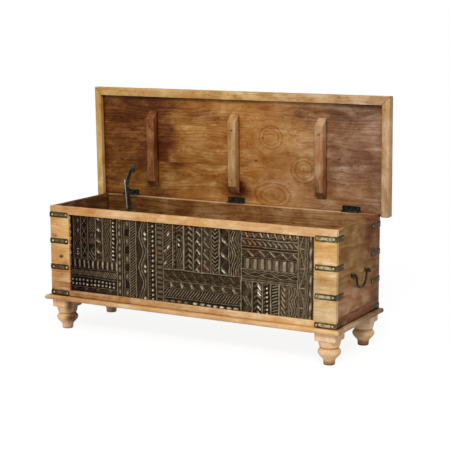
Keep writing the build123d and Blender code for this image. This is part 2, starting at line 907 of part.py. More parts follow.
for side_name, side in SIDES:
    with BuildPart() as lid_rim_side:
        with BuildSketch(lid_plane.offset(lid_back)):
            with BuildLine():
                Polyline(
                    (side * lid_inner_half, -lid_overhang),
                    (side * lid_outer_half, -lid_overhang),
                    (side * lid_outer_half, lid_outer_front),
                    (side * lid_inner_half, lid_inner_front),
                    close=True,
                )
            make_face()
        extrude(amount=rim_thickness)
        long_edges = lid_rim_side.edges().filter_by(lid_axis).group_by(Axis.X)
        fillet(long_edges[0 if side < 0 else -1], lid_round)
        end_face = lid_rim_side.faces().sort_by(lid_axis)[0]
        fillet(end_face.edges(), lid_end_round)
    save(lid_rim_side, f"lid_rim_{side_name}")

# ---------------------------------------------------------------------------------------
# Battens, bevelled at both ends, with two screws each
# ---------------------------------------------------------------------------------------

for number, centre in enumerate(batten_centres):
    batten_side = Plane(
        origin=lid_plane.from_local_coords(Vector(centre - batten_width / 2, 0, lid_face)),
        x_dir=lid_up,
        z_dir=(1, 0, 0),
    )
    with BuildPart() as batten:
        with BuildSketch(batten_side):
            with BuildLine():
                Polyline(
                    (batten_ends[0], 0),
                    (batten_ends[1], 0),
                    (batten_ends[1] - batten_bevel, batten_thickness),
                    (batten_ends[0] + batten_bevel, batten_thickness),
                    close=True,
                )
            make_face()
        extrude(amount=batten_width)
        shown_face = batten.faces().sort_by(Axis((0, 0, 0), lid_inward))[-1]
        fillet(shown_face.edges(), arris)
        with Locations(*batten_screw_spots):
            CounterSinkHole(
                batten_screw_radius + hole_clearance,
                batten_screw_head_radius + hole_clearance,
                batten_screw_length,
                screw_angle,
            )
    save(batten, f"lid_batten_{number + 1}")

batten_screw = countersunk_screw(batten_screw_head_radius, batten_screw_radius, batten_screw_length)
with BuildPart() as batten_screws:
    with Locations(*batten_screw_spots):
        add(batten_screw)
save(batten_screws, "batten_screws")

# ---------------------------------------------------------------------------------------
# Butt hinges: knuckles 1, 3 and 5 on the chest's leaf, 2 and 4 on the lid's
# ---------------------------------------------------------------------------------------

knuckle_length = hinge_length / knuckle_count
knuckle_bore = hinge_pin_radius + running_clearance
leaf_relief = hinge_barrel_radius + loose_clearance


def hinge_leaf(leaf_plane, centre, own_knuckles, screw_spots):
    """One leaf with its knuckles. On leaf_plane x runs out from the pin and z along it."""
    with BuildPart() as leaf:
        for knuckle in range(knuckle_count):
            start = centre - hinge_length / 2 + knuckle * knuckle_length
            own = knuckle in own_knuckles
            plate_start = 0.0 if own else leaf_relief
            with BuildSketch(leaf_plane.offset(start)):
                rectangle_between(
                    plate_start, hinge_leaf_width, -leaf_face - hinge_leaf_thickness, -leaf_face
                )
            extrude(amount=knuckle_length)
        for knuckle in own_knuckles:
            start = centre - hinge_length / 2 + knuckle * knuckle_length
            with BuildSketch(leaf_plane.offset(start)):
                Circle(hinge_barrel_radius)
            extrude(amount=knuckle_length)
        for knuckle in range(knuckle_count):
            # Between two knuckles of one leaf, the other leaf's knuckle needs room to turn.
            if knuckle not in own_knuckles:
                start = centre - hinge_length / 2 + knuckle * knuckle_length - side_clearance / 2
                with BuildSketch(leaf_plane.offset(start)):
                    Circle(leaf_relief)
                extrude(amount=knuckle_length + side_clearance, mode=Mode.SUBTRACT)
        with BuildSketch(leaf_plane.offset(centre - hinge_length)):
            Circle(knuckle_bore)
        extrude(amount=2 * hinge_length, mode=Mode.SUBTRACT)
        with Locations(*screw_spots):
            CounterSinkHole(
                screw_radius + hole_clearance,
                screw_head_radius + hole_clearance,
                screw_length,
                screw_angle,
            )
    return leaf


# The chest's leaf runs towards the front, below the pin; the lid's leaf runs up the lid.
body_leaf_plane = Plane(origin=(0, hinge_y, hinge_z), x_dir=(0, -1, 0), z_dir=(-1, 0, 0))
lid_leaf_plane = Plane(origin=(0, hinge_y, hinge_z), x_dir=lid_up, z_dir=(1, 0, 0))
body_knuckles = tuple(range(0, knuckle_count, 2))
lid_knuckles = tuple(range(1, knuckle_count, 2))
for number, centre in enumerate(hinge_centres):
    body_leaf = hinge_leaf(body_leaf_plane, -centre, body_knuckles, body_leaf_screws)
    save(body_leaf, f"hinge_{number + 1}_body_leaf")
    lid_leaf = hinge_leaf(lid_leaf_plane, centre, lid_knuckles, lid_leaf_screws)
    save(lid_leaf, f"hinge_{number + 1}_lid_leaf")

hinge_pin = headed_pin(
    hinge_pin_radius, hinge_length + side_clearance, hinge_pin_head_radius, hinge_pin_head
)
with BuildPart() as hinge_pins:
    for centre in hinge_centres:
        with Locations(Plane(origin=(centre, hinge_y, hinge_z), z_dir=(1, 0, 0)).location):
            add(hinge_pin)
save(hinge_pins, "hinge_pins")

# ---------------------------------------------------------------------------------------
# Lid stay: a folded channel arm, a flat bar arm, and a bracket on the back and on the lid
# ---------------------------------------------------------------------------------------

pin_bore = stay_pin_radius + running_clearance

with BuildPart() as stay_lower_arm:
    with BuildSketch(lower_arm_plane.offset(-stay_channel_width / 2)):
        with Locations((lower_arm_length / 2, 0)):
            SlotCenterToCenter(lower_arm_length, stay_arm_width)
    extrude(amount=stay_channel_width)
    with BuildSketch(lower_arm_plane.offset(-stay_channel_gap / 2)):
        rectangle_between(
            -stay_arm_width,
            lower_arm_length + stay_arm_width,
            -stay_arm_width,
            stay_arm_width / 2 - stay_sheet,
        )
    extrude(amount=stay_channel_gap, mode=Mode.SUBTRACT)
    with BuildSketch(lower_arm_plane.offset(-stay_channel_width)):
        with Locations((0, 0), (lower_arm_length, 0)):
            Circle(pin_bore)
    extrude(amount=2 * stay_channel_width, mode=Mode.SUBTRACT)
save(stay_lower_arm, "stay_lower_arm")

with BuildPart() as stay_upper_arm:
    with BuildSketch(upper_arm_plane.offset(-stay_bar_thickness / 2)):
        with Locations((upper_arm_length / 2, 0)):
            SlotCenterToCenter(upper_arm_length, stay_bar_width)
        with Locations((upper_arm_length, 0)):
            Circle(pin_bore, mode=Mode.SUBTRACT)
        with Locations((0, 0)):
            Circle(stay_pin_radius + side_clearance, mode=Mode.SUBTRACT)
    extrude(amount=stay_bar_thickness)
save(stay_upper_arm, "stay_upper_arm")


def bracket(plate_plane, ears, screw_spots):
    """A screwed plate with ears across it. Each ear is a (start, end) stretch along x."""
    with BuildPart() as plate:
        with BuildSketch(plate_plane):
            RectangleRounded(stay_plate_width, stay_plate_length, strap_end_round)
        extrude(amount=stay_plate)
        for ear_start, ear_end in ears:
            ear_plane = Plane(
                origin=plate_plane.from_local_coords(Vector(ear_start, 0, stay_standoff)),
                x_dir=plate_plane.z_dir,
                z_dir=plate_plane.x_dir,
            )
            with BuildSketch(ear_plane):
                Circle(stay_ear_width / 2)
                rectangle_between(
                    -stay_standoff, 0, -stay_ear_width / 2, stay_ear_width / 2
                )
                Circle(pin_bore, mode=Mode.SUBTRACT)
            extrude(amount=ear_end - ear_start)
        with Locations(*screw_spots):
            CounterSinkHole(
                screw_radius + hole_clearance,
                screw_head_radius + hole_clearance,
                screw_length,
                screw_angle,
            )
    return plate


tongue_half = stay_channel_gap / 2 - side_clearance
wall_ears = [(-tongue_half, tongue_half)]
save(bracket(wall_plate_plane, wall_ears, wall_plate_screws), "stay_wall_bracket")
ear_inner = stay_bar_thickness / 2 + side_clearance
ear_outer = ear_inner + stay_lid_ear
lid_ears = [(-ear_outer, -ear_inner), (ear_inner, ear_outer)]
save(bracket(lid_plate_plane, lid_ears, lid_plate_screws), "stay_lid_bracket")

cheek_pin_length = stay_channel_width + 2 * side_clearance
PIVOTS = (
    ("stay_wall_pin", cheek_pin_length, wall_pivot_y, wall_pivot_z),
    ("stay_elbow_rivet", cheek_pin_length, elbow_y, elbow_z),
    ("stay_lid_pin", 2 * ear_outer + 2 * side_clearance, lid_pivot_y, lid_pivot_z),
)
for pin_name, pin_length, pin_y, pin_z in PIVOTS:
    pivot_pin = headed_pin(stay_pin_radius, pin_length, stay_pin_head_radius, stay_pin_head)
    with BuildPart() as stay_pin:
        with Locations(Plane(origin=(stay_x, pin_y, pin_z), z_dir=(1, 0, 0)).location):
            add(pivot_pin)
    save(stay_pin, pin_name)

# ---------------------------------------------------------------------------------------
# Small countersunk screws, the same for the hinges and the stay's brackets
# ---------------------------------------------------------------------------------------

small_screw = countersunk_screw(screw_head_radius, screw_radius, screw_length)
with BuildPart() as small_screws_body:
    with Locations(*body_leaf_screws, *wall_plate_screws):
        add(small_screw)
save(small_screws_body, "small_screws_body")

with BuildPart() as small_screws_lid:
    with Locations(*lid_leaf_screws, *lid_plate_screws):
        add(small_screw)
save(small_screws_lid, "small_screws_lid")
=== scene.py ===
"""The looks of a long carved storage chest that stands with its lid open.

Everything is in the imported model's frame: +X runs along the chest to the right, +Y from its
front to its back and +Z up from the floor. Sizes in this file are millimetres and become
metres where a mesh or a shader is made. New pieces are surfaces worked out as whole arrays:
a section carried along a path, a turned profile, or a height over a flat grid.
"""

import json
import logging
import math
import zlib
from collections.abc import Sequence
from dataclasses import dataclass, replace
from enum import Enum
from functools import cached_property

import bmesh
import bpy
import numpy as np
from mathutils import Euler, Matrix, Vector


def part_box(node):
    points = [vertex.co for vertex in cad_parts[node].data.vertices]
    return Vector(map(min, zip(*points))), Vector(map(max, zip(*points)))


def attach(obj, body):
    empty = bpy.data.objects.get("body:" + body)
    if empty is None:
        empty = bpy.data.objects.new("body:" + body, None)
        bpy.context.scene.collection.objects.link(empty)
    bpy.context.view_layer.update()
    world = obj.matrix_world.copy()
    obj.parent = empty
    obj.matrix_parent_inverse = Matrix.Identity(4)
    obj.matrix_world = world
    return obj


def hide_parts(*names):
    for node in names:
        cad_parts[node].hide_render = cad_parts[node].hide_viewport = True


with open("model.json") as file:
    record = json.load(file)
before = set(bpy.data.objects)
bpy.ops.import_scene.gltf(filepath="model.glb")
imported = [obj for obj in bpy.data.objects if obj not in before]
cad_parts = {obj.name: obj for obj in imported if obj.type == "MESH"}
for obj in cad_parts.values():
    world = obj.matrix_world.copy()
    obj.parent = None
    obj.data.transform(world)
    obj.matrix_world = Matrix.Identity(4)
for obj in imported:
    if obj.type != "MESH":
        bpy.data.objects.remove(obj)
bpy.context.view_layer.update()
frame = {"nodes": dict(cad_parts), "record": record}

LOG = logging.getLogger("chest")
MM = 0.001
VECTOR_TO_VALUE = ("LENGTH", "DISTANCE", "DOT_PRODUCT")
Array = np.ndarray
Colour = tuple[float, float, float]
Socket = bpy.types.NodeSocket


# Small helpers


def linear(colour: Colour) -> tuple[float, float, float, float]:
    """Turn an 8-bit screen colour into the linear colour that shaders use.

    Args:
        colour: red, green and blue from 0 to 255.

    Returns:
        Linear red, green, blue and an alpha of 1.
    """
    share = np.array(colour) / 255.0
    curve = np.where(share <= 0.04045, share / 12.92, ((share + 0.055) / 1.055) ** 2.4)
    return (*curve.tolist(), 1.0)


def seeded(name: str) -> np.random.Generator:
    """Give a random source that depends on the name alone."""
    return np.random.default_rng(zlib.crc32(name.encode()))


def smoothstep(value: Array) -> Array:
    """Ease a value from 0 to 1: 3v^2 - 2v^3 inside that range, flat outside it."""
    held = np.clip(value, 0.0, 1.0)
    return held * held * (3.0 - 2.0 * held)


def corners(node: str) -> tuple[Array, Array]:
    """Give a CAD node's lowest and highest corner in millimetres."""
    low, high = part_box(node)
    return np.array(low) / MM, np.array(high) / MM


# Surfaces


@dataclass
class Surface:
    """Points in millimetres and the polygons that join them."""

    points: Array
    polygons: list[list[int]]

    @staticmethod
    def joined(parts: Sequence["Surface"]) -> "Surface":
        """Put several surfaces into one, each keeping its own points.

        Args:
            parts: the surfaces in order.

        Returns:
            One surface that holds them all.
        """
        polygons: list[list[int]] = []
        offset = 0
        for part in parts:
            polygons += [[index + offset for index in polygon] for polygon in part.polygons]
            offset += len(part.points)
        return Surface(np.concatenate([part.points for part in parts]), polygons)


def through_rings(rings: Array, closed: bool = False) -> Surface:
    """Join rings of equal length into one closed surface.

    Point j of ring i is joined to its neighbours j + 1 and i + 1, so four of them make a
    face; the first and last rings become caps, or are joined to each other.

    Args:
        rings: an array of shape (rings, points in a ring, 3).
        closed: join the last ring to the first in place of the two caps.

    Returns:
        The surface through the rings.
    """
    count, size = rings.shape[:2]
    index = np.arange(count * size).reshape(count, size)
    near = np.stack([index, np.roll(index, -1, axis=1)], axis=-1)
    quads = np.concatenate([near, np.roll(near, -1, axis=0)[..., ::-1]], axis=-1)
    polygons = (quads if closed else quads[:-1]).reshape(-1, 4).tolist()
    if not closed:
        polygons += [index[0, ::-1].tolist(), index[-1].tolist()]
    return Surface(rings.reshape(-1, 3), polygons)


def rounded_section(low: Array, high: Array, radii: Sequence[float], steps: int = 4) -> Array:
    """Give the outline of a rectangle with a quarter circle at each corner.

    Args:
        low: the rectangle's lowest corner, two numbers.
        high: its highest corner.
        radii: the radius at (low, low), (high, low), (high, high) and (low, high).
        steps: how many chords make a quarter circle.

    Returns:
        Points of shape (4 * (steps + 1), 2), anticlockwise.
    """
    signs = np.array([[-1, -1], [1, -1], [1, 1], [-1, 1]])
    edge = np.where(signs < 0, low, high)
    radius = np.array(radii, float)
    centres = edge - signs * radius[:, None]
    angles = np.radians([[180], [270], [0], [90]]) + np.linspace(0, math.pi / 2, steps + 1)
    arc = np.stack([np.cos(angles), np.sin(angles)], axis=-1)
    return (centres[:, None, :] + radius[:, None, None] * arc).reshape(-1, 2)


def turned(profile: Array, centre: tuple[float, float], sides: int) -> Array:
    """Turn a profile about an upright axis.

    Args:
        profile: (radius, height) pairs of shape (n, 2), from the bottom up.
        centre: where the axis stands, in x and y.
        sides: how many points go round.

    Returns:
        Rings of shape (n, sides, 3).
    """
    angle = np.linspace(0, 2 * math.pi, sides, endpoint=False)
    x = centre[0] + profile[:, :1] * np.cos(angle)[None, :]
    y = centre[1] + profile[:, :1] * np.sin(angle)[None, :]
    z = np.repeat(profile[:, 1:], sides, axis=1)
    return np.stack([x, y, z], axis=-1)


def tube(path: Array, radius: Array, side: Array, sides: int = 18) -> Array:
    """Carry a circle along a flat path.

    At each point the circle lies in the plane of the path's normal and the given side, so it
    is path + radius * (cos * normal + sin * side).

    Args:
        path: points of shape (n, 3).
        radius: the tube's radius at each point.
        side: the direction square to the path's plane.
        sides: how many points go round.

    Returns:
        Rings of shape (n, sides, 3).
    """
    along = np.gradient(path, axis=0)
    along /= np.linalg.norm(along, axis=1, keepdims=True)
    normal = np.cross(side, along)
    angle = np.linspace(0, 2 * math.pi, sides, endpoint=False)
    turn = np.cos(angle)[None, :, None] * normal[:, None, :]
    turn = turn + np.sin(angle)[None, :, None] * side[None, None, :]
    return path[:, None, :] + radius[:, None, None] * turn


def rounded_path(route: Array, radii: Sequence[float], steps: int) -> Array:
    """Round the inner corners of a flat route with arcs.

    An arc of radius r starts r * tan(turn / 2) before its corner and ends as far after it.

    Args:
        route: corner points of shape (n, 2).
        radii: one radius for each inner corner.
        steps: how many chords make an arc.

    Returns:
        Points of shape (m, 2) along the rounded route.
    """
    pieces = [route[:1]]
    for before, corner, after, radius in zip(route, route[1:], route[2:], radii):
        into = (corner - before) / np.linalg.norm(corner - before)
        out = (after - corner) / np.linalg.norm(after - corner)
        turn = math.atan2(into[0] * out[1] - into[1] * out[0], float(into @ out))
        start = corner - into * radius * math.tan(abs(turn) / 2)
        normal = math.copysign(1.0, turn) * np.array([-into[1], into[0]])
        angle = np.linspace(0, abs(turn), steps + 1)[:, None]
        centre = start + normal * radius
        pieces.append(centre - normal * radius * np.cos(angle) + into * radius * np.sin(angle))
    pieces.append(route[-1:])
    return np.concatenate(pieces)


@dataclass(frozen=True)
class Placement:
    """A right-handed set of axes with its origin, which carries local points to the model's frame."""

    origin: Array
    axes: Array

    def carry(self, local: Array) -> Array:
        """Give the row-frame place of local points: origin + x * axis0 + y * axis1 + z * axis2."""
        return self.origin + local @ self.axes


UNMOVED = Placement(np.zeros(3), np.eye(3))


# Shaders


class Shader:
    """One material's node tree, built a node at a time."""

    def __init__(self, name: str, kind: str = "", world: bool = False) -> None:
        """Start an empty material, or a world, with an output.

        Args:
            name: its name, which also seeds its noise.
            kind: goes before the name and leaves the seed alone.
            world: whether it is a world.
        """
        self.owner = (bpy.data.worlds if world else bpy.data.materials).new(kind + name)
        self.owner.use_nodes = True
        self.tree = self.owner.node_tree
        self.tree.nodes.clear()
        self.output = self.node("OutputWorld" if world else "OutputMaterial", {})
        self.seed = float(seeded(name).uniform(3, 40))

    @cached_property
    def place(self) -> Socket:
        """The point in the model's frame, in metres."""
        return self.node("TexCoord", {}).outputs["Object"]

    def node(self, kind: str, inputs: dict[str | int, object], **settings: object) -> bpy.types.Node:
        """Add a node, set its options and fill or link its inputs.

        Args:
            kind: the node's type, without its ShaderNode prefix.
            inputs: for each input, a value or the socket that feeds it.
            settings: the node's own options.

        Returns:
            The new node.
        """
        made = self.tree.nodes.new("ShaderNode" + kind)
        for option, value in settings.items():
            setattr(made, option, value)
        for key, value in inputs.items():
            if isinstance(value, bpy.types.NodeSocket):
                self.tree.links.new(value, made.inputs[key])
            else:
                made.inputs[key].default_value = value
        return made

    def math(self, operation: str, *values: object) -> Socket:
        """Add a Math node and give its result."""
        return self.node("Math", dict(enumerate(values)), operation=operation).outputs[0]

    def plus(self, first: object, second: object) -> Socket:
        """Give first + second."""
        return self.math("ADD", first, second)

    def times(self, first: object, second: object) -> Socket:
        """Give first * second."""
        return self.math("MULTIPLY", first, second)

    def scaled(self, value: object, factor: object, base: object) -> Socket:
        """Give base + value * factor."""
        return self.math("MULTIPLY_ADD", value, factor, base)

    def most(self, first: object, second: object) -> Socket:
        """Give the larger of two values, or the second one where there is no first."""
        return second if first is None else self.math("MAXIMUM", first, second)

    def vector(self, operation: str, first: object, second: object = (0.0, 0.0, 0.0)) -> Socket:
        """Add a Vector Math node and give its vector, or its value where it has one."""
        made = self.node("VectorMath", {0: first, 1: second}, operation=operation)
        return made.outputs["Value" if operation in VECTOR_TO_VALUE else "Vector"]

    def parts(self, vector: Socket) -> tuple[Socket, Socket, Socket]:
        """Give a vector's x, y and z."""
        return tuple(self.node("SeparateXYZ", {0: vector}).outputs)

    def fade(
        self, value: Socket, start: float, end: float, low: float = 0.0, high: float = 1.0
    ) -> Socket:
        """Ease from low to high while the value goes from start to end."""
        inputs = {"Value": value, "From Min": start, "From Max": end, "To Min": low, "To Max": high}
        return self.node("MapRange", inputs, interpolation_type="SMOOTHSTEP").outputs["Result"]

    def noise(
        self, place: Socket, stretch: Sequence[float], detail: float, shift: float, swirl: float = 0.0
    ) -> Socket:
        """Add soft noise, from 0 to 1.

        Args:
            place: the point that it is read at, in metres.
            stretch: how many swells it makes to the metre along each axis.
            detail: how many finer layers lie over the first.
            shift: moves the pattern from where the material's own seed puts it.
            swirl: how far the noise bends itself.

        Returns:
            The noise's value.
        """
        seed = self.seed + shift
        inputs = {0: place, 1: tuple(stretch), 2: (seed, seed * 1.7, seed * 0.6)}
        moved = self.node("VectorMath", inputs, operation="MULTIPLY_ADD").outputs[0]
        looks = {"Scale": 1.0, "Detail": detail, "Roughness": 0.55, "Distortion": swirl}
        return self.node("TexNoise", {"Vector": moved, **looks}).outputs[0]

    def mix(self, factor: object, first: object, second: object, blend: str = "MIX") -> Socket:
        """Mix two colours, where the factor is the second one's share."""
        inputs = {0: factor, 6: first, 7: second}
        return self.node("Mix", inputs, data_type="RGBA", blend_type=blend).outputs[2]

    def combined(self, red: object, green: object, blue: object) -> Socket:
        """Make a colour of three values."""
        return self.node("CombineColor", {0: red, 1: green, 2: blue}).outputs[0]

    def ramp(
        self, factor: Socket, stops: Sequence[tuple[float, Colour]], easing: str = "LINEAR"
    ) -> Socket:
        """Add a colour ramp over the stops' own span.

        Args:
            factor: the value it is read at, from 0 to 1 over that span.
            stops: positions with their screen colours.
            easing: how the ramp goes from stop to stop.

        Returns:
            The colour.
        """
        made = self.node("ValToRGB", {0: factor})
        made.color_ramp.interpolation = easing
        elements = made.color_ramp.elements
        low, high = stops[0][0], stops[-1][0]
        for index, (spot, colour) in enumerate(stops):
            position = (spot - low) / (high - low)
            element = elements[index] if index < 2 else elements.new(position)
            element.position = position
            element.color = linear(colour)
        return made.outputs[0]

    def reach(self, place: Socket, centre: Sequence[float], size: Sequence[float]) -> Socket:
        """Give the distance from a spot on a board's face, in shares of its half sizes.

        Args:
            place: the point, with x along the grain and z across it.
            centre: the spot's place along and across, in millimetres.
            size: its half sizes along and across.

        Returns:
            0 at the spot's middle and 1 on its rim, an ellipse.
        """
        moved = self.vector("SUBTRACT", place, (centre[0] * MM, 0.0, centre[1] * MM))
        scale = (1 / (size[0] * MM), 0.0, 1 / (size[1] * MM))
        return self.vector("LENGTH", self.vector("MULTIPLY", moved, scale))

    def bumped(self, height: Socket, depth: float, strength: float) -> Socket:
        """Give a normal that follows a height, with its depth in millimetres."""
        inputs = {"Height": height, "Distance": depth * MM, "Strength": strength}
        return self.node("Bump", inputs).outputs[0]

    def finish(self, **inputs: object) -> bpy.types.Material:
        """Close the tree with a Principled shader.

        Args:
            inputs: the shader's inputs by name, with _ for each space.

        Returns:
            The finished material.
        """
        named = {key.replace("_", " "): value for key, value in inputs.items()}
        return self.close(self.node("BsdfPrincipled", named))

    def close(self, last: bpy.types.Node) -> bpy.types.ID:
        """Link the tree's last node to its output, and give what the tree belongs to."""
        self.tree.links.new(last.outputs[0], self.output.inputs[0])
        return self.owner


class Grain(Enum):
    """The way a board's fibres run; each value turns local x onto it."""

    ALONG_X = (0.0, 0.0, 0.0)
    ALONG_Y = (0.0, 0.0, math.pi / 2)
    ALONG_Z = (0.0, -math.pi / 2, 0.0)


@dataclass(frozen=True)
class Knot:
    """A knot, placed on the board's face along and across its grain."""

    along: float
    across: float
    size: float


@dataclass(frozen=True)
class Patch:
    """An area of another tone: its centre, its half sizes, its colour and its strength."""

    along: float
    across: float
    length: float
    width: float
    colour: Colour
    strength: float


@dataclass(frozen=True)
class Eye:
    """A place where the rings close into ovals: its centre and its half sizes."""

    along: float
    across: float
    length: float
    width: float


@dataclass(frozen=True)
class Wood:
    """A waxed board: growth rings about a pith line, fibres, mottling, knots and stains.

    Rings are the distance from the pith line, pushed about by slow noise, so a face that
    passes near the pith shows arches and a face far from it shows straight lines. Tones are
    colours at places along the board. The shares from figure to feather say how much each
    thing darkens the wood, and the occlusion share paints shade into the corners, grooves
    and near the floor.
    """

    tones: tuple[tuple[float, Colour], ...]
    ring: float = 14.0
    figure: float = 0.16
    fibre: float = 0.2
    mottle: float = 0.3
    swirl: float = 22.0
    pith: tuple[float, float] = (60.0, 10.0)
    knots: tuple[Knot, ...] = ()
    eyes: tuple[Eye, ...] = ()
    patches: tuple[Patch, ...] = ()
    clouds: float = 0.2
    flecks: float = 0.3
    feather: float = 0.0
    feather_turn: float = 0.6
    gloss: float = 0.5
    shine: float = 0.12
    # Painted shade: how far ambient occlusion darkens corners, grooves and the wood near the floor.
    occlusion_shade: float = 0.9
    heart: Colour = (44, 20, 9)

    def rings(self, shader: Shader, place: Socket, quick: Socket) -> tuple[Socket, Socket | None]:
        """Work out the rings' dark share, stronger inside eyes, and the knots' hearts.

        The ring at a point is its bent distance from the pith line in ring widths; inside an
        eye it is the distance from the eye's centre instead.

        Args:
            shader: the material in hand.
            place: the point, with x along the grain.
            quick: quick noise at that point.

        Returns:
            The dark share of the ring at each point, and the hearts' cover.
        """
        flat = shader.vector("MULTIPLY", place, (0.0, 1.0, 1.0))
        radius = shader.vector("DISTANCE", flat, (0.0, self.pith[0] * MM, self.pith[1] * MM))
        slow = shader.noise(place, (2.2, 7, 7), 2, 0)
        radius = shader.scaled(slow, self.swirl * 4 * MM, radius)
        hearts, strong = None, None
        for knot in self.knots:
            spot = (knot.along, knot.across)
            reach = shader.reach(place, spot, (knot.size * 6, knot.size * 2.6))
            radius = shader.scaled(shader.fade(reach, 1, 0), self.ring * 3 * MM, radius)
            heart = shader.reach(place, spot, (knot.size, knot.size * 0.8))
            hearts = shader.most(hearts, shader.fade(shader.scaled(quick, 0.9, heart), 1.45, 0.6))
        for eye in self.eyes:
            reach = shader.reach(place, (eye.along, eye.across), (eye.length, eye.width))
            reach = shader.scaled(quick, 0.12, reach)
            inward = shader.math("SUBTRACT", shader.times(reach, 0.7 * eye.width * MM), radius)
            cover = shader.fade(reach, 1.15, 0.8)
            radius = shader.scaled(inward, cover, radius)
            strong = shader.most(strong, cover)
        radius = shader.scaled(quick, self.ring * 0.5 * MM, radius)
        phase = shader.times(radius, 1 / (self.ring * MM))
        band = shader.math("FRACT", phase)
        late = shader.math("SUBTRACT", shader.fade(band, 0.2, 0.86), shader.fade(band, 0.88, 1.0))
        year = shader.node("TexWhiteNoise", {"W": shader.math("FLOOR", phase)}, noise_dimensions="1D")
        late = shader.times(late, shader.scaled(year.outputs[0], 1.1, 0.2))
        if strong is not None:
            late = shader.times(late, shader.scaled(strong, 0.2, 1.0))
        return late, hearts

    def tone(self, shader: Shader, place: Socket) -> Socket:
        """Work out the board's colour: a slow change along it, with patches laid over that.

        Args:
            shader: the material in hand.
            place: the point, with x along the grain.

        Returns:
            The colour, before anything darkens it.
        """
        low, high = self.tones[0][0], self.tones[-1][0]
        share = shader.scaled(shader.parts(place)[0], 1 / ((high - low) * MM), -low / (high - low))
        drift = shader.noise(place, (6, 13, 13), 4, 11)
        share = shader.plus(share, shader.scaled(drift, 0.2, -0.1))
        tone = shader.ramp(share, self.tones, "EASE")
        for patch in self.patches:
            reach = shader.reach(place, (patch.along, patch.across), (patch.length, patch.width))
            reach = shader.plus(reach, shader.scaled(drift, 1.3, -0.65))
            cover = shader.times(shader.fade(reach, 1.15, 0.25), patch.strength)
            tone = shader.mix(cover, tone, linear(patch.colour))
        return tone

    def material(self, name: str, centre: Array, grain: Grain) -> bpy.types.Material:
        """Build the board's material.

        The tone is raised to a power that starts a little under 1. Over 1 it darkens and warms
        the tone, as late wood, fibres, pores and the painted shade from ambient occlusion do;
        noises of about 0.5 are taken off again by the same share, so the middle tone stays.

        Args:
            name: the board's name, which also seeds its pattern.
            centre: the board's middle, in millimetres.
            grain: the way its fibres run.

        Returns:
            The material.
        """
        shader = Shader(name, "wood_")
        inputs = {"Vector": shader.place, "Location": tuple(centre * MM), "Rotation": grain.value}
        place = shader.node("Mapping", inputs, vector_type="TEXTURE").outputs[0]
        quick = shader.noise(place, (12, 55, 55), 3, 5)
        late, hearts = self.rings(shader, place, quick)
        fibres = shader.noise(place, (10, 330, 330), 3, 2)
        streaks = shader.noise(place, (3, 45, 45), 4, 8)
        mottled = shader.noise(place, (16, 26, 26), 5, 3)
        pores = shader.fade(shader.noise(place, (30, 700, 700), 1, 7), 0.62, 0.74)
        threads = shader.fade(shader.noise(place, (2.5, 170, 170), 2, 6), 0.6, 0.72)
        cloudy = shader.noise(place, (8, 14, 14), 7, 13, 0.8)
        flecks = shader.fade(shader.noise(place, (55, 230, 230), 2, 17), 0.58, 0.68)
        # Painted shade from ambient occlusion, for corners, grooves and the floor close by.
        hollow = shader.node("AmbientOcclusion", {"Distance": 0.012}, samples=8)
        start = 1.0 - 0.3 * self.figure - self.fibre - 1.95 * self.mottle - self.clouds
        power = shader.scaled(late, self.figure, start + 0.3 * self.feather)
        for share, amount in (
            (fibres, 2 * self.fibre),
            (streaks, 1.3 * self.mottle),
            (mottled, 2.6 * self.mottle),
            (shader.fade(cloudy, 0.32, 0.68), 2 * self.clouds),
            (flecks, self.flecks),
            (pores, 0.12),
            (threads, 0.8 * self.fibre),
            (shader.fade(hollow.outputs["AO"], 0.8, 0.35), self.occlusion_shade),
        ):
            power = shader.scaled(share, amount, power)
        if self.feather:
            turn = {"Vector": place, "Rotation": (0.0, self.feather_turn, 0.0)}
            leaning = shader.node("Mapping", turn).outputs[0]
            feather = shader.fade(shader.noise(leaning, (5, 70, 70), 3, 19, 0.3), 0.4, 0.64)
            feather = shader.times(feather, shader.fade(cloudy, 0.62, 0.4))
            power = shader.scaled(feather, -self.feather, power)
        colour = shader.node("Gamma", {0: self.tone(shader, place), 1: power}).outputs[0]
        if hearts is not None:
            colour = shader.mix(shader.times(hearts, 0.9), colour, linear(self.heart))
        height = shader.scaled(pores, -1.2, shader.times(fibres, 0.8))
        return shader.finish(
            Base_Color=colour,
            Roughness=shader.scaled(mottled, 0.3, self.gloss - 0.15),
            Normal=shader.bumped(shader.scaled(late, 0.4, height), 0.25, 0.5),
            Specular_IOR_Level=self.shine,
        )


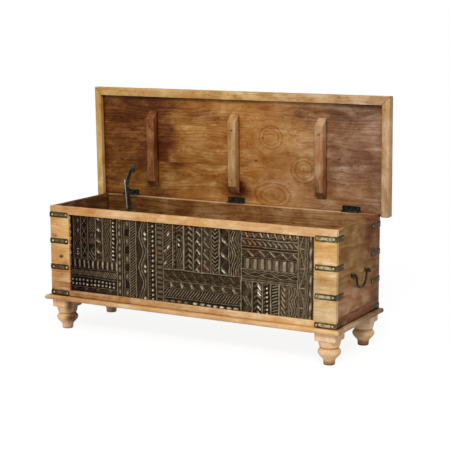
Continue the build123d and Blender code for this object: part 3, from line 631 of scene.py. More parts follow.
@dataclass(frozen=True)
class Metal:
    """A worked metal: a base with a cloudy patina, pale where worn, with some painted light.

    It is worn pale in spots and where the mesh's relief says that it stands proud. Its edges
    are made pale partly as wear and partly as a painted highlight, and a band between two x,
    in millimetres, is a painted highlight. Behind a given y it is darkened as painted shade.
    """

    base: Colour
    patina: Colour
    worn: Colour
    metallic: float = 0.55
    gloss: float = 0.42
    shine: float = 0.2
    scale: float = 1.0
    wear: float = 0.5
    edges: float = 0.3
    dents: float = 0.25
    raised: Colour | None = None
    band: tuple[float, float] | None = None
    painted_side_shade: tuple[float, Colour] | None = None

    def material(self, name: str) -> bpy.types.Material:
        """Build the metal's material.

        Args:
            name: the material's name.

        Returns:
            The material.
        """
        shader = Shader(name)
        cloudy = shader.noise(shader.place, (40 * self.scale,) * 3, 4, 0)
        fine = shader.noise(shader.place, (260 * self.scale,) * 3, 3, 4)
        wear_and_highlight = shader.noise(shader.place, (75 * self.scale,) * 3, 3, 9)
        colour = shader.mix(shader.fade(cloudy, 0.4, 0.62), linear(self.base), linear(self.patina))
        bright = shader.fade(shader.scaled(fine, 0.35, wear_and_highlight), 0.74, 0.9)
        bright = shader.times(bright, self.wear)
        if self.raised is not None:
            relief = shader.node("Attribute", {}, attribute_name="relief").outputs["Fac"]
            speckle = shader.fade(shader.scaled(fine, 0.6, wear_and_highlight), 0.64, 0.9, 0.2, 1.0)
            colour = shader.mix(shader.times(relief, speckle), colour, linear(self.raised))
        # Edges made pale: partly wear, partly a painted highlight.
        softened = shader.node("Bevel", {"Radius": 1.6 * MM}, samples=6).outputs[0]
        normal = shader.node("NewGeometry", {}).outputs["Normal"]
        edge = shader.fade(shader.vector("DOT_PRODUCT", softened, normal), 0.995, 0.9)
        edge = shader.times(edge, shader.fade(wear_and_highlight, 0.35, 0.6, 0.3, 1.0))
        bright = shader.most(bright, shader.times(edge, self.edges))
        across, depth, _ = shader.parts(shader.place)
        # Painted highlight: a bright band between two x.
        if self.band is not None:
            low, high = self.band[0] * MM, self.band[1] * MM
            into, out = shader.fade(across, low, low + MM), shader.fade(across, high, high - MM)
            bright = shader.most(bright, shader.times(shader.times(into, out), 0.9))
        colour = shader.mix(bright, colour, linear(self.worn))
        # Painted shade: darker behind a given y, on the parts that face away from the front.
        if self.painted_side_shade is not None:
            start, tint = self.painted_side_shade
            cover = shader.fade(depth, start * MM, (start + 2.0) * MM, 0.0, 0.88)
            colour = shader.mix(cover, colour, linear(tint))
        return shader.finish(
            Base_Color=colour,
            Metallic=self.metallic,
            Specular_IOR_Level=self.shine,
            Roughness=shader.scaled(fine, 0.3, self.gloss - 0.15),
            Normal=shader.bumped(shader.scaled(fine, 0.3, wear_and_highlight), self.dents, 0.7),
        )


@dataclass(frozen=True)
class CarvedFinish:
    """Old stained carving: near black in its cuts, brown on its ground, pale on worn ridges.

    The black in the cuts is partly stain and partly painted shade, and heights over 1 take a
    painted highlight. The places in it are metres across the front and up it.
    """

    # Height to colour: the low stops paint shade into the cuts, the top stop a highlight.
    levels: tuple[tuple[float, Colour], ...] = (
        (0.0, (10, 5, 2)),
        (0.1, (26, 17, 9)),
        (0.3, (62, 49, 33)),
        (0.55, (98, 84, 65)),
        (0.8, (130, 117, 96)),
        (1.0, (162, 150, 128)),
        (1.4, (244, 237, 218)),
    )
    warm: Colour = (124, 86, 52)

    def material(self, name: str) -> bpy.types.Material:
        """Build the carving's material, which reads the height kept in the mesh.

        The wood is darker to the left, and warmer near the top rail, over the fourth board's
        upper left and in patches.

        Args:
            name: the material's name.

        Returns:
            The material.
        """
        shader = Shader(name)
        across, _, up = shader.parts(shader.place)
        height = shader.node("Attribute", {}, attribute_name="relief").outputs["Fac"]
        cloudy = shader.noise(shader.place, (11, 11, 11), 4, 0)
        fine = shader.noise(shader.place, (220, 220, 420), 3, 3)
        level = shader.plus(height, shader.scaled(fine, 0.16, -0.08))
        level = shader.plus(level, shader.scaled(cloudy, 0.16, -0.08))
        level = shader.plus(level, shader.fade(across, -0.54, -0.28, -0.13, 0.04))
        level = shader.plus(level, shader.fade(across, 0.2, 0.3, 0.0, 0.04))
        colour = shader.ramp(shader.times(level, 1 / self.levels[-1][0]), self.levels)
        top = shader.times(shader.fade(up, 0.42, 0.458), shader.fade(cloudy, 0.35, 0.65))
        board = shader.times(shader.fade(across, 0.2, 0.25), shader.fade(across, 0.36, 0.27))
        board = shader.times(board, shader.fade(up, 0.33, 0.40))
        patch = shader.times(shader.fade(cloudy, 0.52, 0.66), 0.4)
        warm = shader.times(shader.most(shader.most(top, board), patch), 0.6)
        colour = shader.mix(warm, colour, linear(self.warm), "COLOR")
        shade = shader.fade(across, 0.1, 0.48, 0.0, 0.16)
        shade = shader.plus(shader.fade(across, -0.54, -0.3, 0.82, 1.0), shade)
        cool = shader.times(shade, shader.fade(across, -0.5, -0.34, 0.9, 1.0))
        colour = shader.mix(1.0, colour, shader.combined(shade, cool, shade), "MULTIPLY")
        return shader.finish(
            Base_Color=colour,
            Roughness=shader.fade(level, 0.2, 0.9, 0.62, 0.45),
            Normal=shader.bumped(fine, 0.3, 0.5),
            Specular_IOR_Level=0.04,
        )


# Finishes of this chest

HONEY = Wood(
    tones=((-600, (196, 148, 96)), (0, (202, 158, 106)), (600, (208, 171, 126))),
    ring=9, fibre=0.26, mottle=0.32, clouds=0.18, feather=0.12,
)
PLINTH = replace(
    HONEY, tones=((-600, (194, 152, 106)), (0, (204, 164, 116)), (600, (220, 184, 136)))
)
PLINTH_SIDE = replace(HONEY, tones=((-200, (170, 132, 94)), (200, (128, 96, 66))))
BOTTOM_RAIL = replace(
    HONEY, tones=((-600, (154, 108, 64)), (0, (190, 148, 98)), (600, (222, 186, 136)))
)
HONEY_BLOCK = replace(
    HONEY, tones=((-45, (204, 158, 102)), (45, (210, 170, 114))), swirl=7, clouds=0.22, feather=0.06
)
KNOTTY_BLOCK = replace(
    HONEY_BLOCK,
    knots=(Knot(5.5, -33, 14),),
    patches=(
        Patch(-25, 47, 22, 14, (146, 98, 54), 0.75),
        Patch(27, -58, 16, 16, (150, 100, 56), 0.5),
        Patch(0, -100, 60, 50, (172, 120, 74), 0.7),
    ),
)
RUSSET_BLOCK = replace(HONEY_BLOCK, tones=((-45, (154, 102, 58)), (45, (168, 116, 70))))
TAN_BLOCK = replace(
    HONEY_BLOCK,
    tones=((-45, (200, 164, 118)), (45, (206, 172, 124))),
    patches=(Patch(0, 56, 70, 46, (182, 144, 96), 0.9),),
)
BROWN = Wood(
    tones=((-200, (140, 102, 56)), (0, (140, 100, 54)), (200, (116, 70, 32))),
    ring=30, figure=0.3, fibre=0.1, swirl=62, mottle=0.2, clouds=0.12, flecks=0.12,
    pith=(60, -120), feather=0.1, feather_turn=-0.55, shine=0.05,
)
# Painted shade: the left end is darker all over, for the shade on its inner face.
BROWN_LEFT_SHADED = replace(BROWN, tones=((-200, (106, 68, 42)), (200, (92, 56, 32))))
BROWN_LOW = replace(BROWN, tones=((-200, (128, 84, 54)), (200, (116, 70, 42))), pith=(40, 0))
BROWN_STAINED = replace(
    BROWN,
    patches=(
        Patch(90, 90, 60, 120, (100, 50, 18), 0.85),
        Patch(-20, -20, 140, 60, (154, 112, 62), 0.7),
        Patch(-40, -115, 190, 70, (182, 136, 100), 0.9),
    ),
)
INSIDE = Wood(
    tones=((-600, (100, 62, 28)), (0, (134, 88, 48)), (600, (146, 102, 62))),
    ring=11, figure=0.2, clouds=0.18, gloss=0.55, shine=0.06,
)
# The lid's tones run dark at its left end and golden in the middle: the wood's own colour, with painted
# shade over the left end.
LID = Wood(
    tones=(
        (-607, (102, 57, 15)), (-430, (96, 52, 16)), (-320, (100, 55, 20)), (-235, (150, 100, 46)),
        (60, (164, 112, 56)), (250, (168, 122, 74)), (430, (134, 97, 70)), (607, (136, 100, 76)),
    ),
    ring=10, figure=0.2, fibre=0.12, mottle=0.32, clouds=0.17, feather=0.08,
    swirl=20, gloss=0.45, shine=0.09,
)
LID_BACK = replace(
    LID,
    pith=(34, 10),
    swirl=22,
    eyes=(Eye(158, -26, 124, 74), Eye(288, 72, 100, 86)),
    patches=(
        Patch(10, -14, 72, 56, (84, 38, 16), 0.95),
        Patch(-480, -10, 110, 90, (140, 94, 38), 0.85),
        Patch(-320, 15, 75, 70, (142, 96, 46), 0.85),
        Patch(200, 20, 120, 50, (170, 118, 78), 0.6),
        Patch(440, -15, 140, 75, (162, 120, 82), 0.85),
    ),
)
LID_MIDDLE = replace(
    LID,
    pith=(38, -4),
    eyes=(Eye(150, 42, 108, 98), Eye(288, -70, 100, 86)),
    knots=(
        Knot(87, -48, 8), Knot(433, -25, 7), Knot(510, -46, 4.5),
        Knot(-222, -10, 5), Knot(-240, 20, 4),
    ),
    patches=(
        # Painted shadow beside the first batten.
        Patch(-310, -5, 60, 26, (104, 54, 24), 0.7),
        Patch(-520, 30, 70, 22, (104, 60, 26), 0.6),
        Patch(160, 20, 110, 50, (168, 122, 72), 0.6),
        Patch(500, -20, 120, 50, (120, 82, 62), 0.7),
    ),
)
LID_FRONT = replace(
    LID,
    pith=(30, 30),
    swirl=14,
    knots=(Knot(505, 5, 4),),
    eyes=(Eye(150, -86.6, 108, 98),),
    patches=(
        Patch(-480, 0, 140, 60, (94, 50, 10), 0.85),
        Patch(280, 10, 110, 45, (116, 74, 44), 0.8),
        Patch(-120, -15, 110, 26, (130, 84, 48), 0.7),
        Patch(500, 20, 150, 50, (116, 86, 68), 0.7),
    ),
)
RIM = Wood(
    tones=((-640, (186, 148, 90)), (0, (184, 144, 90)), (640, (168, 130, 92))),
    ring=7, figure=0.14, fibre=0.26, mottle=0.36, flecks=0.4, pith=(30, 6),
)
LEFT_RIM = replace(RIM, tones=((-220, (196, 160, 100)), (220, (190, 152, 96))))
RIGHT_RIM = replace(RIM, tones=((-220, (174, 140, 102)), (220, (184, 148, 106))))
BATTEN = Wood(
    tones=((-155, (128, 80, 44)), (155, (122, 74, 38))), ring=6, mottle=0.35, pith=(25, 4), swirl=6
)
BATTENS = (
    BATTEN,
    replace(BATTEN, tones=((-155, (170, 128, 82)), (155, (176, 134, 88)))),
    replace(BATTEN, tones=((-155, (130, 84, 50)), (-20, (172, 128, 88)), (155, (176, 138, 104)))),
)
# The feet take more painted shade from ambient occlusion, in the groove and at the toe by the floor.
FOOT = Wood(
    tones=((-60, (212, 174, 132)), (-30, (226, 190, 146)), (60, (230, 196, 152))),
    ring=8, mottle=0.34, pith=(10, 8), swirl=5, occlusion_shade=1.2,
)
# Painted shadow: a dark patch down one side of the foot, standing for the shade on that side.
SHADED_SIDE_FOOT = replace(FOOT, patches=(Patch(-10, -46, 140, 36, (82, 42, 26), 0.95),))
DARK_TOE = replace(FOOT, patches=(Patch(-56, 0, 17, 90, (150, 96, 64), 0.9),))

# Straps: the last entry darkens everything behind the front face as painted shade.
STRAP_IRON = Metal(
    base=(96, 80, 46), patina=(60, 48, 26), worn=(184, 172, 134), metallic=0.3, gloss=0.5,
    shine=0.08, edges=0.12, raised=(184, 174, 140), painted_side_shade=(-194, (60, 40, 18)),
)
BROWN_IRON = replace(
    STRAP_IRON, base=(70, 54, 28), patina=(46, 34, 16), worn=(128, 114, 84), raised=(106, 90, 60)
)
BAIL_IRON = Metal(
    base=(66, 47, 26), patina=(42, 29, 16), worn=(104, 84, 64), metallic=0.3, gloss=0.45, shine=0.08
)
STAY_STEEL = Metal(
    base=(68, 64, 54), patina=(42, 42, 36), worn=(226, 220, 204), metallic=0.4, wear=0.4, edges=0.25
)
BLACK_IRON = Metal(
    base=(36, 34, 28), patina=(22, 21, 17), worn=(96, 94, 84), metallic=0.35, gloss=0.4, shine=0.1
)
SCREW_STEEL = Metal(base=(70, 62, 54), patina=(36, 30, 26), worn=(128, 122, 112), scale=2)
# The nails behind the front face are darkened the same way, as painted shade.
NAIL_BRASS = Metal(
    base=(206, 188, 142), patina=(128, 104, 66), worn=(238, 226, 190), shine=0.5, scale=2,
    painted_side_shade=(-194, (104, 86, 54)),
)


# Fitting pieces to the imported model


class Workshop:
    """Knows which body and material slot each CAD node has, and fits new pieces to them."""

    def __init__(self, record: dict) -> None:
        """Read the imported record.

        Args:
            record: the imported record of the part.
        """
        bodies = record["behaviour"]["bodies"]
        self.body = {node: body for body, nodes in bodies.items() for node in nodes}
        self.slot = {entry["node"]: entry["material_slot"] for entry in record["subparts"]}
        self.joints = {joint["name"]: joint for joint in record["behaviour"]["joints"]}

    def fit(
        self,
        node: str,
        surface: Surface,
        material: bpy.types.Material,
        crease: float,
        relief: Array | None = None,
    ) -> None:
        """Make a piece that stands for a CAD node and moves with its body.

        Args:
            node: the CAD node's name.
            surface: the piece's points and polygons.
            material: its material.
            crease: the angle in degrees past which an edge stays sharp.
            relief: a value for each point, kept in the mesh for the shader.
        """
        mesh = bpy.data.meshes.new(node + "_looks")
        mesh.from_pydata((surface.points * MM).tolist(), [], surface.polygons)
        mesh.validate()
        if relief is not None:
            layer = mesh.attributes.new("relief", "FLOAT", "POINT")
            layer.data.foreach_set("value", relief.astype(np.float32))
        shape = bmesh.new()
        shape.from_mesh(mesh)
        bmesh.ops.recalc_face_normals(shape, faces=shape.faces)
        shape.to_mesh(mesh)
        shape.free()
        mesh.shade_smooth()
        mesh.set_sharp_from_angle(angle=math.radians(crease))
        mesh.materials.append(material)
        piece = bpy.data.objects.new(node + "_looks", mesh)
        bpy.context.scene.collection.objects.link(piece)
        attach(piece, self.body[node])
        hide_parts(node)
        LOG.info("%s: %d faces", piece.name, len(mesh.polygons))

    def dress(self, node: str, material: bpy.types.Material) -> None:
        """Keep a CAD node's own shape and give it a material.

        Args:
            node: the CAD node's name.
            material: its material.
        """
        piece = frame["nodes"][node]
        piece.data.materials.clear()
        piece.data.materials.append(material)
        LOG.info("%s: keeps its shape", node)


# Boards


@dataclass
class Board:
    """A sawn board with softened edges: a rounded section carried along the board.

    The first and last rings shrink along a quarter circle, which rounds the ends too, and the
    rings between lie a hair inside the box by a slow random amount, as hand-planed edges do.
    Ends may be cut on a slope: each end is a straight line across one way of the section.
    """

    node: str
    low: Array
    high: Array
    axis: int
    wood: Wood
    grain: Grain
    radii: tuple[float, float, float, float]
    end_radius: float = 1.2
    start_cut: tuple[float, float] = (0.0, 0.0)
    end_cut: tuple[float, float] = (0.0, 0.0)
    placement: Placement = UNMOVED
    spacing: float = 45.0
    waver: float = 0.25

    def surface(self) -> Surface:
        """Work out the board's surface.

        Returns:
            The closed surface in the model's frame.
        """
        first, second = [way for way in range(3) if way != self.axis]
        low = np.array([self.low[first], self.low[second]])
        high = np.array([self.high[first], self.high[second]])
        section = rounded_section(low, high, self.radii)
        length = self.high[self.axis] - self.low[self.axis]
        quarter = np.linspace(0, math.pi / 2, 4)
        reach = self.end_radius * (1 - np.cos(quarter))
        pinch = self.end_radius * (1 - np.sin(quarter))
        count = max(2, int(length / self.spacing))
        middle = np.linspace(self.end_radius, length - self.end_radius, count + 1)[1:-1]
        distance = np.concatenate([reach, middle, length - reach[::-1]])
        random = seeded(self.node)
        wander = np.convolve(random.uniform(0, 1, len(middle) + 4), np.ones(5) / 5, "valid")
        inset = np.concatenate([pinch, self.waver * wander, pinch[::-1]])
        centre = (low + high) / 2
        half = (high - low) / 2
        shrink = 1 - inset[:, None] / half[None, :]
        across = centre + (section - centre)[None, :, :] * shrink[:, None, :]
        lean = (across[..., 0] - low[0]) / (high - low)[0]
        start = self.start_cut[0] + lean * (self.start_cut[1] - self.start_cut[0])
        end = self.end_cut[0] + lean * (self.end_cut[1] - self.end_cut[0])
        share = (distance / length)[:, None]
        rings = np.empty((len(distance), len(section), 3))
        rings[..., first] = across[..., 0]
        rings[..., second] = across[..., 1]
        place = self.low[self.axis] + distance[:, None]
        rings[..., self.axis] = place + start * (1 - share) + end * share
        return through_rings(self.placement.carry(rings))

    def build(self, workshop: Workshop) -> None:
        """Make the board's piece.

        Args:
            workshop: fits the piece.
        """
        surface = self.surface()
        centre = (surface.points.min(0) + surface.points.max(0)) / 2
        workshop.fit(self.node, surface, self.wood.material(self.node, centre, self.grain), 50.0)


# Carving


def ridge(distance: Array, width: float) -> Array:
    """A rounded ridge: one at its middle, falling as a parabola to nothing at half its width."""
    return np.clip(1 - (2 * distance / width) ** 2, 0, 1)


def peak(reach: Array, steepness: float) -> Array:
    """A clipped pyramid: steepness * (1 - reach), held between 0 and 1."""
    return np.clip(steepness * (1 - reach), 0, 1)


def saw(value: Array) -> Array:
    """The distance from the nearest whole number, with its sign: from -0.5 to 0.5."""
    return value - np.round(value)


def ripple(x: Array, z: Array, name: str, size: float, waves: int = 14) -> Array:
    """Give soft noise as a sum of plane waves with random ways, lengths and phases.

    Args:
        x: places along the front.
        z: places up the front.
        name: seeds the waves.
        size: their middle length in millimetres.
        waves: how many there are.

    Returns:
        Noise with a spread of about one.
    """
    random = seeded(f"{name} {size}")
    total = np.zeros(x.shape)
    for way, stretch, phase in random.uniform(0, 1, (waves, 3)):
        turn = 2 * math.pi / (size * (0.6 + 1.1 * stretch))
        across = math.cos(math.pi * way) * x + math.sin(math.pi * way) * z
        total += np.cos(turn * across + 2 * math.pi * phase)
    return total / math.sqrt(waves / 2)


@dataclass(frozen=True)
class Cut:
    """Places of one strip of carving: across its middle line and along it, in millimetres.

    Each method from fillet on is one motif, and gives its height at those places from 0, the
    bottom of the cuts, to 1, the board's face. The lean is the motif's slope or, for wavy
    ones, how far it swings, and fill is how far the hollows between flutes rise.
    """

    across: Array
    along: Array
    half: float
    period: float
    lean: float
    fill: float

    @property
    def step(self) -> Array:
        """The distance along from the nearest repeat."""
        return saw(self.along / self.period) * self.period

    @property
    def gap(self) -> Array:
        """The distance along from the nearest middle between two repeats."""
        return saw(self.along / self.period + 0.5) * self.period

    def slanting(self, bent: Array, width: float) -> Array:
        """Ridges at each repeat of a bent distance, their width a share of the period."""
        step, slope = saw(bent / self.period) * self.period, math.hypot(1, self.lean)
        return ridge(step / slope, width * self.period / slope)

    def fillet(self) -> Array:
        """A plain fillet as wide as its strip."""
        return ridge(self.across, 2.3 * self.half)

    def beads(self) -> Array:
        """Four-sided pyramids on edge: 1 - |across| / width - |along| / length."""
        lean = np.abs(self.across - 0.3 * self.lean * self.step) / (0.8 * self.half)
        return peak(lean + np.abs(self.step) / (0.5 * self.period), 1.5)

    def petals(self) -> Array:
        """Leaning petals with gaps between them: 1 - |across + lean * along| - |along|."""
        lean = np.abs(self.across + self.lean * self.step) / (0.7 * self.half)
        return peak(lean + np.abs(self.step) / (0.28 * self.period), 1.8)

    def strokes(self) -> Array:
        """Leaning strokes: 1 minus the larger of |across + lean * along| and |along|."""
        lean = np.abs(self.across + self.lean * self.step) / 4.0
        return peak(np.maximum(lean, np.abs(self.step) / (0.47 * self.period)), 2.2)

    def ovals(self) -> Array:
        """Long domes: the square root of what an ellipse leaves."""
        reach = (self.across / (0.8 * self.half)) ** 2 + (self.step / (0.42 * self.period)) ** 2
        return np.sqrt(peak(reach, 1.0))

    def squares(self) -> Array:
        """Square pyramids: 1 minus the larger of the two distances."""
        return peak(np.maximum(np.abs(self.across), np.abs(self.step)) / (0.85 * self.half), 1.8)

    def rope(self) -> Array:
        """Slanting ridges: a ridge at each repeat of along - lean * across."""
        return self.slanting(self.along - self.lean * self.across, 0.56)

    def lattice(self) -> Array:
        """Two sets of slanting ridges that cross, the second one lower."""
        other = self.slanting(self.along + self.lean * self.across, 0.56)
        return np.maximum(self.rope(), 0.55 * other)

    def zigzag(self) -> Array:
        """A zigzag, thick where it falls and thin where it rises, over sloping ground; its falling
        strokes rise highest, which paints them paler as a highlight.

        Its line is a triangle wave, 1 - 4 * |saw|, of 0.78 of the half width.

        Returns:
            The height at each place.
        """
        wave = (1 - 4 * np.abs(saw(self.along / self.period))) * self.half * 0.78
        falling = (self.step > 0) == (self.lean > 0)
        distance = (self.across - wave) / math.hypot(1, 4 * 0.78 * self.half / self.period)
        thick = ridge(distance, 8.0 * abs(self.lean))
        line = np.where(falling, thick, 0.6 * ridge(distance, 3.6))
        echo = 0.42 * ridge(np.abs(distance) - 6.5, 2.8)
        ground = np.clip(0.5 - np.abs(distance) / (1.4 * self.half), 0, 1)
        return np.maximum(np.maximum(line, echo), ground * np.where(falling, 1.0, 0.6))

    def chevron(self) -> Array:
        """Ridges that lean away from a spine on both sides: along + lean * |across|."""
        return self.slanting(self.along + self.lean * np.abs(self.across), 0.42)

    def herring(self) -> Array:
        """Leaves about a spine: full on the side that falls, low on the other, which the lower height
        also paints dark as shade.

        Returns:
            The height at each place.
        """
        leaf = self.slanting(self.along + self.lean * np.abs(self.across), 0.6)
        taper = np.clip(1.15 - np.abs(self.across) / self.half * 0.5, 0, 1)
        return leaf * np.where(self.across * self.lean > 0, taper, 0.42)

    def waves(self) -> Array:
        """Side-by-side wavy ridges: repeats of across - lean * sin(along)."""
        curve = self.lean * np.sin(2 * math.pi * self.along / self.period)
        return ridge(saw((self.across - curve) / 9.0) * 9.0, 4.8)

    def vine(self) -> Array:
        """Three wavy lines side by side, with a pair of bright petals in each bend.

        Returns:
            The height at each place.
        """
        wave = -self.lean * np.cos(2 * math.pi * self.along / self.period) - 0.2 * self.half
        across = self.across - wave
        lines = np.maximum(ridge(across, 5.4), ridge(across - 10.5, 5.0))
        height = 0.72 * np.maximum(lines, 0.6 * ridge(across - 17.0, 3.6))
        for offset, length in ((5.0, 12.0), (-14.0, 11.0)):
            step = self.step - offset
            side = np.abs(self.across - 0.6 * self.half + 0.25 * step) / 8.5
            height = np.maximum(height, peak(side + np.abs(step) / length, 1.8))
        return height

    def crosses(self) -> Array:
        """A diagonal cross in each cell."""
        step = np.abs(self.step / self.period * 2)
        return ridge(np.abs(np.abs(self.across / self.half) - step) * self.half * 0.75, 5.0)

    def pits(self) -> Array:
        """Deep square pits, a low pyramid between each two, and a bar on either side of it.

        Returns:
            The height at each place.
        """
        step = np.abs(self.step)
        reach = np.maximum(np.abs(self.across) / self.half, step / (0.24 * self.period))
        bar = ridge(step - 0.25 * self.period, 4.0)
        floor = np.where(step < 0.25 * self.period, 0.35, 0.0)
        return np.maximum(np.maximum(peak(reach, 1.3), 0.7 * bar), floor)

    def flutes(self) -> Array:
        """Flat bars, each with a hollow that starts deep beside it and rises to the next bar.

        Returns:
            The height at each place.
        """
        place = np.mod(self.along, self.period)
        width = 0.23 * self.period * self.lean
        bar = np.clip((width + 1.2 - np.minimum(place, self.period - place)) / 2.4, 0, 1)
        rise = np.clip((place - width) / (self.period - 2 * width), 0, 1)
        hollow = 0.04 + self.fill * np.clip(2.2 * rise, 0, 1)
        return np.maximum(bar, hollow) * np.clip((self.half - np.abs(self.across)) / 3.0, 0, 1)

    def slats(self) -> Array:
        """Low slats with narrow cuts between them, unevenly spaced, and a fine line on each.

        Returns:
            The height at each place.
        """
        uneven = self.along + 2.5 * np.sin(self.along / 17.0) + self.lean * self.across
        step = np.abs(saw(uneven / self.period)) * self.period
        cut = np.clip((step - 1.0) / 2.6, 0.1, 1)
        return cut * (0.62 + 0.38 * ridge(step - 0.5 * self.period, 3.4))

    def arches(self) -> Array:
        """Arcs, one inside the other, that spring from the row's foot, with wedges between them.

        Returns:
            The height at each place.
        """
        radius = np.hypot(self.step, 1.25 * (self.across + self.half))
        arcs = np.zeros(radius.shape)
        for share, width in ((0.46, 4.0), (0.32, 3.4), (0.2, 3.0)):
            arcs = np.maximum(arcs, ridge(radius - share * self.period, width))
        wedge = 1.4 - (np.abs(self.gap) + 0.7 * (self.half - self.across)) / 8.0
        return np.maximum(0.62 * arcs, np.clip(wedge, 0, 1))

    def lenses(self) -> Array:
        """A chain of pointed ovals inside a second, wider wave.

        Returns:
            The height at each place.
        """
        wave = np.abs(np.sin(math.pi * self.along / self.period))
        side = np.abs(self.across)
        inner = ridge(side - 0.52 * self.half * wave, 4.2)
        outer = ridge(side - (0.95 - 0.35 * (1 - wave)) * self.half, 4.0)
        lowered = np.where(side < 0.5 * self.half * wave, 0.6, 1.0)
        return np.maximum(inner, 0.75 * outer) * lowered

    def sickles(self) -> Array:
        """Curved slanting leaves: repeats of along + lean * across + a square term, thick inside.

        Returns:
            The height at each place.
        """
        square = 0.45 * self.lean * (self.across**2) / self.half
        bend = self.along + self.lean * self.across + square
        step = saw(bend / self.period) * self.period
        width = 0.5 * self.period * (1.05 - 0.6 * (self.across / self.half) ** 2)
        return np.maximum(ridge(step, width), 0.35 * np.clip(0.5 + step / self.period, 0, 1))

    def curls(self) -> Array:
        """A post at each repeat, with a small curl and a slanting stroke between posts.

        Returns:
            The height at each place.
        """
        post = 0.6 * ridge(self.step, 3.6)
        curl = 0.7 * ridge(np.hypot(self.gap + 5.0, self.across - 1.0) - 6.0, 3.4)
        stroke = ridge(self.gap - 6.0 + 0.45 * self.across, 5.0)
        return np.maximum(np.maximum(post, curl), stroke * (np.abs(self.across) < 0.8 * self.half))

    def panels(self) -> Array:
        """Framed cells, each with one diagonal that turns the other way in the next cell.

        Returns:
            The height at each place.
        """
        cell = self.along / self.period
        edge = ridge(np.abs(self.across) - 0.86 * self.half, 3.6)
        turn = np.where(np.floor(cell) % 2 == 0, 1.0, -1.0)
        slant = self.across / (0.8 * self.half) - turn * (cell - np.floor(cell) - 0.5) * 2
        diagonal = ridge(slant * self.half * 0.6, 5.0)
        return np.maximum(np.maximum(ridge(self.step, 6.0), edge), 0.75 * diagonal)

    def rings(self) -> Array:
        """An arch over two slanting leaves in each cell.

        Returns:
            The height at each place.
        """
        radius = np.hypot(self.across, np.maximum(self.step - 12.0, 0))
        height = 0.6 * ridge(radius - 0.8 * self.half, 4.0)
        for offset in (6.0, -12.0):
            step = self.step - offset
            reach = np.abs(self.across + 0.7 * step + 1.0) / 5.5 + np.abs(step) / 10.0
            height = np.maximum(height, peak(reach, 1.7))
        return height


class Motif(Enum):
    """The patterns of chip carving; each value is the name of a motif of Cut."""

    FILLET = "fillet"
    BEADS = "beads"
    PETALS = "petals"
    STROKES = "strokes"
    OVALS = "ovals"
    SQUARES = "squares"
    ROPE = "rope"
    LATTICE = "lattice"
    ZIGZAG = "zigzag"
    CHEVRON = "chevron"
    HERRING = "herring"
    WAVES = "waves"
    VINE = "vine"
    CROSSES = "crosses"
    PITS = "pits"
    FLUTES = "flutes"
    SLATS = "slats"
    ARCHES = "arches"
    LENSES = "lenses"
    SICKLES = "sickles"
    CURLS = "curls"
    PANELS = "panels"
    RINGS = "rings"


@dataclass(frozen=True)
class Strip:
    """One strip or row of a motif: its box on the front, its repeat and how it leans.

    The repeat starts at phase. A row runs along x, a strip along z. Height is how far its
    ridges rise; over 1 they are also painted bright as a highlight. Base is how far the
    ground rises.
    """

    motif: Motif
    row: bool
    low_x: float
    high_x: float
    low_z: float
    high_z: float
    period: float = 20.0
    phase: float = 0.0
    lean: float = 1.0
    height: float = 0.8
    base: float = 0.3
    fill: float = 0.2

    def relief(self, x: Array, z: Array, rough: Array) -> Array:
        """Give the strip's height over the front, and nothing outside its box.

        Args:
            x: places along the front, in millimetres.
            z: places up the front.
            rough: noise that the ground takes a little of.

        Returns:
            The height at each place, from 0 to 1 and above 1 where a ridge gets a painted highlight.
        """
        low, high = np.array([self.low_x, self.low_z]), np.array([self.high_x, self.high_z])
        inside = (x >= low[0]) & (x <= high[0]) & (z >= low[1]) & (z <= high[1])
        across, along = (z, x) if self.row else (x, z)
        middle, half = ((low + high) / 2)[int(self.row)], ((high - low) / 2)[int(self.row)]
        cut = Cut(across - middle, along - self.phase, half, self.period, self.lean, self.fill)
        pattern = self.height * getattr(cut, self.motif.value)()
        if self.motif in GROUNDLESS:
            return np.where(inside, pattern, 0.0)
        level = np.maximum(self.base * (1 + 0.35 * rough), pattern)
        border = np.clip((half - np.abs(cut.across)) / 2.4, 0.1, 1)
        return np.where(inside, level * border, 0.0)


GROUNDLESS = (Motif.FILLET, Motif.PETALS, Motif.STROKES)
LOW, TOP = 158, 456
# Upright fillets: middle, width, lowest and highest point, height.
UPRIGHT_FILLETS = (
    (-498, 7, 290, TOP, 0.6), (-465, 8, 290, TOP, 0.62), (-434, 7, 290, TOP, 0.62),
    (-398, 7, 288, TOP, 0.78), (-366, 8, 288, TOP, 0.72), (-328, 6, 288, TOP, 0.72),
    (-301, 6, LOW, TOP, 0.72), (-279, 5, LOW, TOP, 0.66), (-269, 5, LOW, TOP, 0.66),
    (-244, 6, LOW, TOP, 0.74), (-217, 6, LOW, TOP, 0.7), (-165, 6, LOW, TOP, 0.74),
    (-129, 7, LOW, TOP, 0.7), (-99, 6, LOW, TOP, 0.68), (-57.5, 7, 284, TOP, 0.74),
    (-11, 9, 284, TOP, 0.82), (30, 7, 284, TOP, 0.74), (65, 6, 284, TOP, 0.74),
    (100, 4, 284, TOP, 0.68), (106, 4, 284, TOP, 0.68), (137, 8, 284, TOP, 0.8),
    (177.5, 6, 284, TOP, 0.74), (226.5, 6, LOW, TOP, 0.76), (270, 6, LOW, 270, 0.72),
    (312, 6, LOW, 270, 0.72), (344, 7, LOW, 270, 0.74), (377, 8, LOW, 270, 0.76),
    (416, 4, LOW, 270, 0.6), (451.5, 6, LOW, TOP, 0.7), (481, 4, LOW, TOP, 0.72),
    (487.5, 4, LOW, TOP, 0.72), (511, 6, LOW, TOP, 0.66),
)
